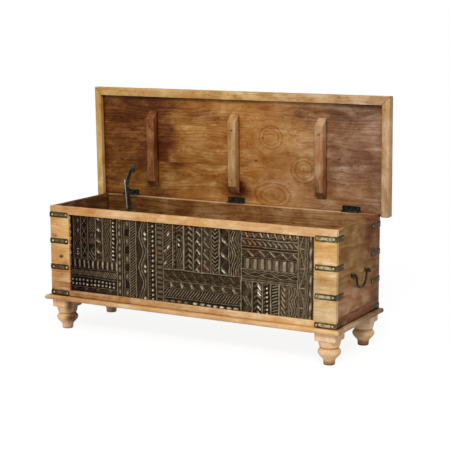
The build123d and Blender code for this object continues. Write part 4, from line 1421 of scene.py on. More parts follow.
# Level fillets: lowest and highest x, middle, width, height.
LEVEL_FILLETS = (
    (-515, -303, 288, 4, 0.55), (-515, -303, 251, 4, 0.5), (-515, -303, 217, 4, 0.6),
    (-515, -303, 180, 4, 0.6), (-96, 224, 284, 5, 0.8), (-96, 224, 241, 3.4, 0.7),
    (-96, 224, 215, 3, 0.6), (-96, 224, 178, 4, 0.66), (229, 449, 426, 5, 0.8),
    (229, 449, 399, 4, 0.75), (229, 449, 388, 4, 0.75), (229, 449, 361, 3, 0.6),
    (229, 449, 316, 4, 0.7), (229, 449, 279, 8, 0.5), (229, 449, 272, 5, 0.66),
)
# Upright strips: low and high x, low and high z, period, phase, lean, height and base.
STRIPS = {
    Motif.OVALS: (
        (-518, -508, 290, TOP, 26.5, 388, 1, 1.25, 0.1),
        (-297, -283, LOW, TOP, 27.5, 398, 1, 0.82, 0.24),
        (491, 505, LOW, TOP, 49, 400, 1, 0.8, 0.3),
    ),
    Motif.WAVES: (
        (-495, -468, 290, TOP, 74, 400, 9, 0.56, 0.02),
        (-362, -332, 290, TOP, 78, 350, 7, 0.6, 0.22), (-45, -15, 306, 366, 120, 340, 6, 0.66, 0.2),
        (182, 206, 287, TOP, 118, 332, 9, 0.96, 0.1), (204, 223, 287, TOP, 118, 332, 9, 0.62, 0.26),
        (417, 448, LOW, 268, 66, 232, 5, 0.82, 0.2),
    ),
    Motif.BEADS: (
        (-487, -470, 298, 330, 9.5, 316, 0.5, 1.2, 0), (-484, -470, 380, 440, 38, 397, 0, 0.95, 0),
        (-326, -308, 292, TOP, 15.6, 423, -1.6, 1.28, 0.04),
        (-152, -134, LOW, TOP, 18.4, 401, 0.4, 1.12, 0.06),
        (-54, -45, 287, TOP, 17, 372, 0, 0.8, 0.12),
        (325, 337, LOW, 268, 15.6, 253, 0.8, 1.34, 0.04),
    ),
    Motif.CROSSES: ((-461, -438, 290, TOP, 38, 398, 1, 0.6, 0.04),),
    Motif.LATTICE: (
        (-430, -402, 395, TOP, 10.5, 0, -0.9, 0.7, 0.08),
        (-430, -402, 350, 372, 8.5, 0, -0.9, 0.75, 0.08),
    ),
    Motif.PITS: (
        (-430, -402, 372, 395, 44, 384, 1, 0.5, 0.1), (-266, -247, LOW, TOP, 66, 372, 1, 0.7, 0.05),
    ),
    Motif.ZIGZAG: (
        (-430, -402, 322, 350, 44, 338, -0.7, 0.6, 0.08),
        (-394, -370, 290, TOP, 42.5, 398, 0.7, 0.72, 0.2),
        (42, 62, 287, TOP, 34.5, 418, 1.1, 1.1, 0.12),
        (33, 50, 287, TOP, 34.5, 408, -0.6, 0.66, 0.06),
        (69, 98, 287, TOP, 43, 422, 0.8, 0.92, 0.22),
        (142, 174, 287, TOP, 54, 394, 0.8, 0.75, 0.14),
        (231, 257, LOW, 268, 66, 250, 0.55, 0.85, 0.14),
        (243, 268, LOW, 268, 66, 250, 0.55, 0.85, 0.14),
    ),
    Motif.ROPE: (
        (-430, -402, 290, 322, 15, 4, -1.1, 0.8, 0.04),
        (-241, -220, LOW, TOP, 10.2, 0, 0.85, 0.76, 0.12),
        (-162, -150, LOW, TOP, 10.6, 0, 0.6, 0.5, 0.08),
        (-95, -62, 287, TOP, 11.4, 0, 0.85, 0.66, 0.14),
        (-45, -15, 430, TOP, 14, 0, 0.9, 0.7, 0.16), (-45, -15, 287, 306, 10, 0, 0.9, 0.6, 0.16),
        (315, 327, LOW, 268, 15.6, 0, 0.8, 0.5, 0.06),
        (349, 373, LOW, 268, 11, 0, 0.35, 0.76, 0.08),
    ),
    Motif.PETALS: (
        (-395, -377, 290, TOP, 42.5, 405, 0.8, 1.25), (-88, -64, 350, 440, 48, 414, -0.4, 1.05),
        (-98, -80, 290, 366, 48, 353, -0.7, 0.95), (68, 88, 287, TOP, 43, 410, 0.2, 0.72),
        (140, 170, 287, TOP, 54, 408, 0.9, 1.1),
    ),
    Motif.VINE: ((-213, -168, LOW, TOP, 122, 402, 9, 1.16, 0.16),),
    Motif.SLATS: ((-125, -102, LOW, TOP, 18.5, 0, 0.05, 0.62, 0),),
    Motif.RINGS: ((-45, -15, 366, 430, 70, 390, 1, 1.2, 0.16),),
    Motif.HERRING: (
        (-7, 27, 287, TOP, 20.5, 430, 0.85, 0.88, 0.14),
        (275, 309, LOW, 268, 20.4, 268, 0.95, 0.95, 0.04),
        (382, 420, LOW, 268, 20, 232, -1.25, 0.9, 0.26),
    ),
    Motif.CHEVRON: ((107, 132, 287, TOP, 14.5, 429, -1, 0.92, 0.1),),
    Motif.STROKES: (
        (288, 311, 218, 268, 22, 253, 0.85, 1.5), (288, 311, 164, 190, 22, 178, 0.85, 1.2),
    ),
    Motif.PANELS: ((455, 479, LOW, TOP, 70, 407, 1, 0.82, 0.26),),
}
# Level rows, in the same order, with the fill where it isn't the usual one.
ROWS = {
    Motif.FLUTES: (
        (-516, -298, 253, 287, 21.2, -515, 0.8, 0.84, 0),
        (236, 449, 317, 359, 29, 253, 0.95, 0.68, 0, 0.5),
    ),
    Motif.LATTICE: ((-515, -303, 222, 247, 9.6, 0, -0.85, 0.8, 0.05),),
    Motif.SQUARES: (
        (-515, -312, 198, 211, 17.2, -506, 1, 1, 0.05),
        (-515, -312, 184, 197, 17.2, -506, 1, 1.06, 0.05),
    ),
    Motif.ARCHES: ((-515, -303, LOW, 178, 54, -469, 1, 0.78, 0.1),),
    Motif.ZIGZAG: (
        (-95, 223, 252, 280, 40, -20, 0.4, 0.62, 0.18),
        (-95, 223, 241, 254, 36, -35, 0.5, 0.7, 0.18),
        (-95, 223, 216, 240, 43.5, -28, 0.6, 0.66, 0.2),
        (230, 449, 363, 387, 44, 298, 0.8, 0.9, 0.16),
    ),
    Motif.PETALS: ((-95, 223, 203, 253, 43.5, -21, 0.7, 0.8),),
    Motif.ROPE: ((-95, 223, 181, 213, 11.4, 0, 0.8, 0.8, 0.06),),
    Motif.OVALS: (
        (18, 223, LOW, 172, 28, 37, 1, 1.15, 0.06), (-95, 14, LOW, 172, 28, -88, 1, 0.66, 0.14),
    ),
    Motif.CURLS: ((230, 449, 430, 454, 29, 285.5, 1, 1.2, 0.22),),
    Motif.SICKLES: ((230, 449, 402, 423, 20.5, 300, 1, 0.85, 0.18),),
    Motif.LENSES: ((230, 449, 284, 314, 54, 256, 1, 0.85, 0.14),),
}


@dataclass
class CarvedFront:
    """The five carved boards behind the front frame.

    Each board's front is a grid over x and z. Its height is the highest of the strips there,
    over a rough ground, and the point lies that share of the carving's depth proud of it.
    """

    depth: float = 5.0
    step: float = 1.1
    ground: float = 0.08
    margin: float = 0.3

    def strips(self) -> list[Strip]:
        """Lay out the carving.

        Returns:
            Every fillet, strip and row of the front.
        """
        laid = [
            Strip(Motif.FILLET, False, middle - width / 2, middle + width / 2, low, high, height=rise)
            for middle, width, low, high, rise in UPRIGHT_FILLETS
        ]
        laid += [
            Strip(Motif.FILLET, True, low, high, middle - width / 2, middle + width / 2, height=rise)
            for low, high, middle, width, rise in LEVEL_FILLETS
        ]
        for table, row in ((STRIPS, False), (ROWS, True)):
            laid += [Strip(motif, row, *sizes) for motif, rows in table.items() for sizes in rows]
        return laid

    def height(self, x: Array, z: Array, name: str) -> Array:
        """Give the carving's height over a grid.

        The places are pushed about by a millimetre or two first, as a hand-led chisel does, and
        the ridges are worn unevenly after.

        Args:
            x: places along the front.
            z: places up the front.
            name: seeds the wear.

        Returns:
            The height at each place, from 0 to 1 and above 1 where it gets a painted highlight.
        """
        rough = ripple(x, z, "ground", 9.0)
        shift_x = x + 0.7 * ripple(x, z, "drift", 60.0) + 0.25 * ripple(x, z, "shake", 14.0)
        shift_z = z + 0.8 * ripple(x, z, "lift", 70.0) + 0.3 * ripple(x, z, "quiver", 15.0)
        tallest = self.ground * (1 + 0.4 * rough)
        for strip in self.strips():
            tallest = np.maximum(tallest, strip.relief(shift_x, shift_z, rough))
        wear = 1 + 0.09 * ripple(x, z, "wear", 22.0) + 0.06 * ripple(x, z, "chip", 6.0)
        worn = tallest * wear + seeded(name).normal(0, 0.03, x.shape)
        beside = worn[:-2, 1:-1] + worn[2:, 1:-1] + worn[1:-1, :-2] + worn[1:-1, 2:]
        soft = worn.copy()
        soft[1:-1, 1:-1] = (5 * worn[1:-1, 1:-1] + beside) / 9
        return np.where((z < LOW) | (z > TOP), self.margin, np.clip(soft, 0, 1.6))

    def build(self, workshop: Workshop, node: str) -> None:
        """Carve one board.

        The grid's rim is joined to the board's back by four sides and one back face.

        Args:
            workshop: fits the piece.
            node: the CAD node of the board.
        """
        low, high = corners(node)
        columns = int((high[0] - low[0]) / self.step)
        rows = int((high[2] - low[2]) / self.step)
        x = np.repeat(np.linspace(low[0], high[0], columns)[:, None], rows, axis=1)
        z = np.repeat(np.linspace(low[2], high[2], rows)[None, :], columns, axis=0)
        level = self.height(x, z, node)
        depth = self.depth * (1 - np.clip(level, 0, 1))
        front = np.stack([x, low[1] + depth, z], axis=-1).reshape(-1, 3)
        index = np.arange(columns * rows).reshape(columns, rows)
        faces = [index[:-1, :-1], index[1:, :-1], index[1:, 1:], index[:-1, 1:]]
        rim = np.concatenate([index[:-1, 0], index[-1, :-1], index[:0:-1, -1], index[0, :0:-1]])
        back = front[rim].copy()
        back[:, 1] = high[1]
        behind = len(front) + np.arange(len(rim))
        walls = np.stack([rim, behind, np.roll(behind, -1), np.roll(rim, -1)], axis=-1)
        polygons = np.concatenate([np.stack(faces, axis=-1).reshape(-1, 4), walls]).tolist()
        surface = Surface(np.concatenate([front, back]), [*polygons, behind[::-1].tolist()])
        relief = np.concatenate([level.reshape(-1), np.full(len(rim), self.margin)])
        workshop.fit(node, surface, CarvedFinish().material("carving_" + node), 55.0, relief)


# Feet


@dataclass
class TurnedFoot:
    """A turned foot under its square block, as one surface from the floor to the plinth."""

    wood: Wood
    toe: float = 20.5
    ankle: float = 24.5
    toe_height: float = 22.0
    bulb: float = 42.0
    bulb_height: float = 39.0
    neck: float = 31.0
    cone: tuple[float, float] = (35.5, 41.5)
    block: float = 42.0
    block_base: float = 88.0
    squareness: float = 14.0
    sides: int = 72

    def profile(self) -> Array:
        """Give the turned part's outline.

        The bulb is half a squashed circle that leans towards its top: its radius is the
        shoulder's plus the swell times the sine of a skewed height.

        Returns:
            (radius, height) pairs from the floor up.
        """
        share = np.linspace(0, 1, 22)
        shoulder = self.ankle + (self.neck - self.ankle) * share
        swell = self.bulb - self.neck + 1.7
        radius = shoulder + swell * np.sin(math.pi * share**1.25) ** 0.85
        bulb = np.stack([radius, self.toe_height + self.bulb_height * share], axis=-1)
        start, groove = self.toe_height, self.toe_height + self.bulb_height
        toe = [
            (self.toe - 2.5, 0), (self.toe - 0.8, 0.8), (self.toe, 2.6), (self.toe + 0.4, start / 2),
            (self.ankle - 2.6, start - 4), (self.ankle - 1.6, start - 2),
        ]
        above = [
            (self.neck - 0.5, groove + 1.0), (self.neck - 0.5, groove + 3.4),
            (self.cone[0], groove + 4.4), (self.cone[0] + 1.6, groove + 9),
            (self.cone[1] - 1.2, self.block_base - 2.5), (self.cone[1] - 0.2, self.block_base),
        ]
        return np.concatenate([np.array(toe), bulb, np.array(above)])

    def build(self, workshop: Workshop, node: str) -> None:
        """Turn one foot.

        The block's rings are squares with rounded corners: the same angles as the turning,
        at half / (|cos|^n + |sin|^n)^(1/n).

        Args:
            workshop: fits the piece.
            node: the CAD node of the foot.
        """
        low, high = corners(node)
        middle = (low + high) / 2
        angle = np.linspace(0, 2 * math.pi, self.sides, endpoint=False)
        ways = np.stack([np.cos(angle), np.sin(angle)], axis=-1)
        power = self.squareness
        square = (np.abs(ways) ** power).sum(-1, keepdims=True) ** (-1 / power)
        tall = high[2] - self.block_base
        rings = [turned(self.profile(), (middle[0], middle[1]), self.sides)]
        for inset, rise in ((3.4, 0), (1.2, 1), (0.2, 3.4), (0, 9), (0, tall - 0.8), (0.8, tall)):
            flat = middle[:2] + (self.block - inset) * square * ways
            height = np.full((self.sides, 1), self.block_base + rise)
            rings.append(np.concatenate([flat, height], axis=1)[None])
        wood = self.wood.material(node, middle, Grain.ALONG_Z)
        workshop.fit(node, through_rings(np.concatenate(rings)), wood, 32.0)


# Straps and nails

Nails = list[tuple[Array, Array]]


@dataclass
class CornerStraps:
    """Iron straps bent round the chest's corners, with a raised rib between the nails.

    A strap is a section carried from one arm's end round the corner to the other's. Its
    height off the wood is a thin sheet's, plus a rib down the middle that fades near nails.
    """

    height: float = 21.0
    levels: int = 4
    sheet: float = 1.5
    rib: float = 1.1
    rib_width: float = 6.3
    end_radius: float = 5.5
    nail_reach: float = 5.5
    nail_end: float = 8.0
    nail_corner: float = 12.0
    thickness: float = 2.0
    spread: tuple[float, ...] = (0, 0.15, 0.3, 0.42, 0.6, 0.88, 0.97, 1)

    def build(self, workshop: Workshop, node: str, sides: tuple[int, int]) -> Nails:
        """Bend one corner's straps.

        Args:
            workshop: fits the piece.
            node: the CAD node of the corner's straps.
            sides: which end of the chest it is on, -1 or 1, and its front or its back.

        Returns:
            The place of each nail and the way that it points out.
        """
        low, high = corners(node)
        corner = np.where(np.array(sides) > 0, high[:2], low[:2]) - np.array(sides) * self.thickness
        arms = high[:2] - low[:2] - self.thickness
        nails: Nails = []
        parts, relief = [], []
        for bottom in np.linspace(low[2], high[2] - self.height, self.levels):
            middle = bottom + self.height / 2
            part, raised = self.strap(corner, arms, sides, middle)
            parts.append(part)
            relief.append(raised)
            for along, across, doubled in ((0, 1, sides[1] < 0), (1, 0, sides[1] > 0)):
                outward = np.zeros(3)
                outward[across] = sides[across]
                for offset in [arms[along] - self.nail_end] + [self.nail_corner] * doubled:
                    place = np.array([corner[0], corner[1], middle])
                    place[along] -= sides[along] * offset
                    nails.append((place, outward))
        iron = (STRAP_IRON if sides[0] > 0 else BROWN_IRON).material("iron_" + node)
        workshop.fit(node, Surface.joined(parts), iron, 60.0, np.concatenate(relief))
        return nails

    def strap(
        self, corner: Array, arms: Array, sides: tuple[int, int], middle: float
    ) -> tuple[Surface, Array]:
        """Work out one strap.

        Args:
            corner: the wood's corner in x and y.
            arms: how far the strap reaches along x and along y.
            sides: the same as in build.
            middle: the height of its middle line.

        Returns:
            The strap's surface, and for each point how much it lies on the rib, cut to a small share
            on the side arm as painted shade.
        """
        ends = self.end_radius * (1 - np.cos(np.linspace(0, math.pi / 2, 6)))
        rests = (np.linspace(self.end_radius, arm, 24)[1:-1] for arm in arms)
        first, second = (np.concatenate([ends, rest]) for rest in rests)
        bend = np.linspace(0, math.pi / 2, 5)
        from_corner = np.concatenate([arms[0] - first, np.zeros(5), (arms[1] - second)[::-1]])
        turn = np.concatenate([np.zeros(len(first)), bend, np.full(len(second), math.pi / 2)])
        from_end = np.concatenate([first, np.full(5, 99.0), second[::-1]])
        narrow = self.end_radius - np.clip(from_end, 0, self.end_radius)
        half = self.height / 2 - self.end_radius + np.sqrt(self.end_radius**2 - narrow**2)
        doubled = np.where(turn < math.pi / 4, sides[1] < 0, sides[1] > 0)
        near_corner = np.where(doubled, from_corner - self.nail_corner, from_corner + 9.0)
        clear = np.minimum(np.abs(near_corner), np.abs(from_end - self.nail_end))
        rib = self.rib * smoothstep((clear - self.nail_reach) / 5.0)
        rib = np.where(doubled & (from_corner < self.nail_corner), 0.0, rib)
        spread = np.array(self.spread)
        spread = np.concatenate([-spread[:0:-1], spread])
        up = half[:, None] * spread[None, :]
        edge = np.clip((1 - np.abs(spread)) / 0.1, 0, 1)
        raised = rib[:, None] * np.clip(1 - (up / self.rib_width) ** 4, 0, 1)
        lift = raised + self.sheet * (0.35 + 0.65 * np.sqrt(edge))[None, :]
        up = np.concatenate([up, half[:, None] * np.array([[1.0, -1.0]])], axis=1)
        lift = np.concatenate([lift, np.full((len(half), 2), 0.02)], axis=1)
        reach_x = np.where(turn < math.pi / 2, from_corner, 0.0)
        reach_y = np.where(turn >= math.pi / 2, from_corner, 0.0)
        x = corner[0] + sides[0] * (np.sin(turn)[:, None] * lift - reach_x[:, None])
        y = corner[1] + sides[1] * (np.cos(turn)[:, None] * lift - reach_y[:, None])
        # Painted shade: the pale rib shows only faintly on the arm round the corner.
        share = np.where(turn < math.pi / 4, 1.0, 0.15)[:, None] / self.rib
        relief = np.concatenate([raised * share, np.zeros((len(half), 2))], axis=1)
        return through_rings(np.stack([x, y, middle + up], axis=-1)), relief.reshape(-1)


@dataclass
class DomeNails:
    """Dome-headed nails with a small rim: a turned profile set at every nail's place."""

    radius: float = 4.2
    rise: float = 2.6
    seat: float = 1.2
    sides: int = 16

    def template(self) -> Surface:
        """Turn one nail head about z, with its seat at the origin.

        Returns:
            The head: a rim and a quarter circle carried round the axis.
        """
        angle = np.linspace(0, math.pi / 2, 6)[:-1]
        dome = np.stack([0.84 * self.radius * np.cos(angle), 0.4 + self.rise * np.sin(angle)], axis=-1)
        rim = np.array([(0.9 * self.radius, 0.0), (self.radius, 0.15), (0.97 * self.radius, 0.55)])
        tip = np.array([(0.12 * self.radius, 0.4 + self.rise)])
        return through_rings(turned(np.concatenate([rim, dome, tip]), (0.0, 0.0), self.sides))

    def build(self, workshop: Workshop, nails: Nails) -> None:
        """Set a nail head at each place, each turned so that its axis points out.

        Args:
            workshop: fits the piece.
            nails: places on the wood and outward directions.
        """
        head = self.template()
        parts = []
        for place, outward in nails:
            axes = np.stack([np.cross([0.0, 0.0, 1.0], outward), [0.0, 0.0, 1.0], outward])
            parts.append(Surface(place + self.seat * outward + head.points @ axes, head.polygons))
        workshop.fit("strap_nails", Surface.joined(parts), NAIL_BRASS.material("nail_brass"), 50.0)


# Bail handles


@dataclass
class BailHandle:
    """A forged bail that hangs in two ring staples."""

    rod: float = 4.0
    swell: float = 0.5
    shoulder: float = 46.0
    foot: float = 38.0
    drop: float = 51.0
    tip: float = 73.0
    tip_splay: float = 2.5
    tip_drop: float = 11.0
    bends: tuple[float, ...] = (5.0, 12.0, 41.0, 41.0, 12.0, 5.0)
    straight: float = 11.0
    staple: float = 61.0
    standoff: float = 12.0
    ring: float = 6.2
    ring_wire: tuple[float, float] = (1.75, 2.4)
    ring_steps: tuple[int, int] = (28, 12)
    shank: float = 2.8
    collar: float = 8.0

    def bail(self) -> Surface:
        """Work out the bail about its pivot: a rod that swells a little towards its foot.

        Returns:
            The rod's surface, as it hangs.
        """
        half = np.array(
            [
                (self.tip + self.tip_splay, -self.tip_drop), (self.tip, 0),
                (self.shoulder, 0), (self.foot, -self.drop),
            ]
        )
        flat = rounded_path(np.concatenate([half * [-1, 1], half[::-1]]), self.bends, 10)
        foot = np.linspace(-1, 1, 13)[1:-1, None] * [[self.straight, 0.0]] - [[0.0, self.drop]]
        cut = len(flat) // 2
        flat = np.concatenate([flat[:cut], foot, flat[cut:]])
        radius = self.rod + self.swell * np.clip(-flat[:, 1] / self.drop, 0, 1) ** 2
        radius[[0, -1]] *= 0.6
        path = np.concatenate([np.zeros((len(flat), 1)), flat], axis=1)
        return through_rings(tube(path, radius, np.array([1.0, 0.0, 0.0])))

    def staple_ring(self) -> Surface:
        """Work out a staple's ring about the pivot's line: a circle of flattened wire.

        Returns:
            The torus.
        """
        around, tilt = (np.linspace(0, 2 * math.pi, count, endpoint=False) for count in self.ring_steps)
        reach = self.ring + self.ring_wire[0] * np.cos(tilt)[None, :]
        wide = self.ring_wire[1] * np.sin(tilt)[None, :] * np.ones((len(around), 1))
        x, z = reach * np.cos(around)[:, None], reach * np.sin(around)[:, None]
        return through_rings(np.stack([x, wide, z], axis=-1), closed=True)

    def stem(self, side: float) -> Surface:
        """Turn a staple's shank with its collar, from inside the wall to the ring.

        Args:
            side: the way out of the chest along x, -1 or 1.

        Returns:
            The shank, with the ring's middle at the origin.
        """
        profile = np.array(
            [
                (self.shank, -3.0), (self.shank, 0.0), (self.collar - 0.6, 0.01), (self.collar, 0.5),
                (self.collar - 0.4, 1.1), (self.shank + 2.6, 2.0), (self.shank + 0.5, 2.6),
                (self.shank, self.standoff - self.ring - 0.4),
            ]
        )
        spun = turned(profile, (0.0, 0.0), 24)
        x = side * (spun[..., 2] - self.standoff)
        return through_rings(np.stack([x, spun[..., 0], spun[..., 1]], axis=-1))

    def build(self, workshop: Workshop, side_name: str) -> None:
        """Forge one handle and its staples.

        Args:
            workshop: fits the pieces.
            side_name: left or right.
        """
        pivot = np.array(workshop.joints[f"bail_{side_name}_swing"]["pos_m"]) / MM
        bail = self.bail()
        bail.points = bail.points + pivot
        workshop.fit("bail_" + side_name, bail, BAIL_IRON.material("iron_bail_" + side_name), 50.0)
        parts = []
        for offset in (-self.staple, self.staple):
            centre = pivot + np.array([0.0, offset, 0.0])
            for part in (self.staple_ring(), self.stem(-1.0 if side_name == "left" else 1.0)):
                parts.append(Surface(part.points + centre, part.polygons))
        iron = BAIL_IRON.material("iron_staple_" + side_name)
        workshop.fit("bail_staples_" + side_name, Surface.joined(parts), iron, 40.0)


# The chest's sub-assemblies


@dataclass
class Carcass:
    """The box: front frame, ends, back, bottom and plinth."""

    edge: float = 2.0
    seam: float = 0.9
    moulding: float = 6.0
    ledge: float = 108.0

    def boards(self) -> list[Board]:
        """Describe the front frame, the two ends and the plinth, mitred at its front corners.

        Returns:
            The boards, each filling its CAD node's box.
        """
        edge, seam, nose, ledge = self.edge, self.seam, self.moulding, self.ledge
        square, upper = (seam,) * 4, (seam, seam, edge, edge)
        left, right = (nose, seam, seam, nose), (seam, nose, nose, seam)
        block, mitre = {"end_radius": 0.9}, {"end_radius": 0.6, "start_cut": (0.0, ledge)}
        rows = (
            ("front_top_rail", 0, replace(HONEY, swirl=9), upper, {}),
            ("front_bottom_rail", 0, BOTTOM_RAIL, (seam, seam, seam, edge), {}),
            ("front_stile_left_lower", 0, RUSSET_BLOCK, square, block),
            ("front_stile_left_upper", 0, KNOTTY_BLOCK, square, block),
            ("front_stile_right_lower", 0, TAN_BLOCK, square, block),
            ("front_stile_right_upper", 0, HONEY_BLOCK, square, block),
            ("side_plank_left_upper", 1, BROWN_LEFT_SHADED, upper, {}),
            ("side_plank_left_lower", 1, BROWN_LEFT_SHADED, square, {}),
            ("side_plank_right_upper", 1, BROWN_STAINED, upper, {}),
            ("side_plank_right_lower", 1, BROWN_LOW, square, {}),
            ("plinth_front", 0, PLINTH, left, mitre | {"end_cut": (0.0, -ledge)}),
            ("plinth_back", 0, HONEY, square, {}),
            ("plinth_left", 1, PLINTH_SIDE, left, mitre),
            ("plinth_right", 1, PLINTH_SIDE, right, mitre | {"start_cut": (ledge, 0.0)}),
        )
        return [
            Board(name, *corners(name), axis, wood, tuple(Grain)[axis], radii, **ends)
            for name, axis, wood, radii, ends in rows
        ]

    def build(self, workshop: Workshop) -> None:
        """Make every board of the box; the back's upper edge is pale.

        Args:
            workshop: fits the pieces.
        """
        for board in self.boards():
            board.build(workshop)
        for node in ("back_panel", "bottom_board"):
            low, high = corners(node)
            pale_top_edge = Patch(0, (high[2] - low[2]) / 2, 900, 3, (206, 166, 120), 0.9)
            wood = replace(INSIDE, patches=(pale_top_edge,)) if node == "back_panel" else INSIDE
            workshop.dress(node, wood.material(node, (low + high) / 2, Grain.ALONG_X))


@dataclass
class Lid:
    """The open lid: three planks, a mitred rim and three bevelled battens.

    Its pieces are laid out flat on the lid, x along it, y up from the hinge line and z towards
    the face that shows, and then carried onto the open lid.
    """

    open_angle: float = 88.7
    board: float = 20.0
    joint: float = 0.5
    overhang: float = 9.4
    inner_half: float = 607.5
    outer_half: float = 637.0
    inner_front: float = 400.0
    outer_front: float = 431.5
    rim_drop: float = 20.0
    seams: tuple[float, float] = (142.8, 293.2)
    nose: float = 7.0
    batten_width: float = 34.0
    batten_thickness: float = 32.0
    batten_ends: tuple[float, float] = (37.5, 344.5)
    batten_bevel: float = 30.0
    batten_centres: tuple[float, ...] = (-369.5, -3.0, 363.5)

    def placement(self, workshop: Workshop) -> Placement:
        """Give the lid's own axes at rest: along x, up the lid and out of its inner face.

        Args:
            workshop: knows where the hinge line is.

        Returns:
            The axes, with their origin on the hinge line.
        """
        origin = np.array(workshop.joints["lid_hinge"]["pos_m"]) / MM
        lean = math.radians(self.open_angle)
        up = [0.0, -math.cos(lean), math.sin(lean)]
        inward = [0.0, -math.sin(lean), -math.cos(lean)]
        return Placement(origin, np.array([[1.0, 0.0, 0.0], up, inward]))

    def boards(self, placement: Placement) -> list[Board]:
        """Describe two of the planks and the rim, mitred at its front corners.

        Args:
            placement: the lid's own axes.

        Returns:
            The boards, without the back plank, which keeps its CAD shape with its notches.
        """
        back, face, top = -self.joint - self.board, -self.joint, -self.joint + self.rim_drop
        inner, outer, start, end = self.inner_half, self.outer_half, -self.overhang, self.outer_front
        width, depth, nose = outer - inner, end - self.inner_front, self.nose
        plank, left, right = (0.8,) * 4, (nose, 1.0, 1.6, nose), (1.0, nose, nose, 1.6)
        sawn = {"end_radius": 0.6, "waver": 0.1}
        mitred = {"end_radius": 0.8, "start_cut": (width, 0.0), "end_cut": (-width, 0.0)}
        left_end = {"end_radius": 3.0, "end_cut": (0.0, -depth)}
        right_end = {"end_radius": 3.0, "end_cut": (-depth, 0.0)}
        low, middle, high = *self.seams, self.inner_front
        rows = (
            ("plank_middle", (-inner, low), (inner, middle, face), 0, LID_MIDDLE, plank, sawn),
            ("plank_front", (-inner, middle), (inner, high, face), 0, LID_FRONT, plank, sawn),
            ("rim_front", (-outer, high), (outer, end, top), 0, RIM, right, mitred),
            ("rim_left", (-outer, start), (-inner, end, top), 1, LEFT_RIM, left, left_end),
            ("rim_right", (inner, start), (outer, end, top), 1, RIGHT_RIM, right, right_end),
        )
        grains = (Grain.ALONG_X, Grain.ALONG_Z)
        return [
            Board(
                "lid_" + name, np.array([*first, back]), np.array(last), axis, wood, grains[axis],
                radii, placement=placement, **ends,
            )
            for name, first, last, axis, wood, radii, ends in rows
        ]

    def batten(self, placement: Placement, number: int, wood: Wood, workshop: Workshop) -> None:
        """Make one batten: a section that grows up the bevel, runs on and falls again.

        Args:
            placement: the lid's own axes.
            number: which batten, from 0.
            wood: its finish.
            workshop: fits the piece.
        """
        centre, half = self.batten_centres[number], self.batten_width / 2
        start, end = self.batten_ends
        face = -self.joint
        lift = np.array([0.6, 2.0, self.batten_thickness - 1.2, self.batten_thickness - 0.3])
        slope = lift / self.batten_thickness * self.batten_bevel
        inner = np.linspace(start + self.batten_bevel + 2, end - self.batten_bevel - 2, 7)
        along = np.concatenate([start + slope, inner, end - slope[::-1]])
        height = np.concatenate([lift, np.full(7, self.batten_thickness), lift[::-1]])
        rings = []
        for place, rise in zip(along, height):
            radius = min(2.2, rise / 2 - 0.1)
            low, high = np.array([centre - half, face]), np.array([centre + half, face + rise])
            section = rounded_section(low, high, (0.2, 0.2, radius, radius))
            rings.append(np.insert(section, 1, place, axis=1))
        node = f"lid_batten_{number + 1}"
        surface = through_rings(placement.carry(np.stack(rings)))
        middle = (surface.points.min(0) + surface.points.max(0)) / 2
        workshop.fit(node, surface, wood.material(node, middle, Grain.ALONG_Z), 30.0)

    def build(self, workshop: Workshop) -> None:
        """Make the lid's boards and battens.

        Args:
            workshop: fits the pieces.
        """
        placement = self.placement(workshop)
        for board in self.boards(placement):
            board.build(workshop)
        low, high = corners("lid_plank_back")
        wood = LID_BACK.material("lid_plank_back", (low + high) / 2, Grain.ALONG_X)
        workshop.dress("lid_plank_back", wood)
        for number, batten_wood in enumerate(BATTENS):
            self.batten(placement, number, batten_wood, workshop)


@dataclass
class Ironwork:
    """Straps, nails, bails, hinges, the stay and the screws."""

    # Width of the painted highlight down the stay's lower arm.
    flange_highlight: float = 4.0

    def build(self, workshop: Workshop) -> None:
        """Make or dress every metal piece.

        Args:
            workshop: fits the pieces.
        """
        nails: Nails = []
        for end_name, y_side in (("front", -1), ("back", 1)):
            for side_name, x_side in (("left", -1), ("right", 1)):
                node = f"corner_straps_{end_name}_{side_name}"
                nails += CornerStraps().build(workshop, node, (x_side, y_side))
        DomeNails().build(workshop, nails)
        for side_name in ("left", "right"):
            BailHandle().build(workshop, side_name)
        iron = BLACK_IRON.material("iron_hinges")
        stay = STAY_STEEL.material("steel_stay")
        steel = SCREW_STEEL.material("steel_screws")
        for node, slot in workshop.slot.items():
            if node.startswith("hinge_"):
                workshop.dress(node, iron)
            elif node == "stay_lower_arm":
                # The lower arm gets a painted highlight down its left flange.
                left = corners(node)[0][0]
                wear_and_highlight = replace(STAY_STEEL, band=(left - 1.0, left + self.flange_highlight))
                workshop.dress(node, wear_and_highlight.material("steel_lower_arm"))
            elif node.startswith("stay_"):
                workshop.dress(node, stay)
            elif slot == "screw_steel":
                workshop.dress(node, steel)


# Stage


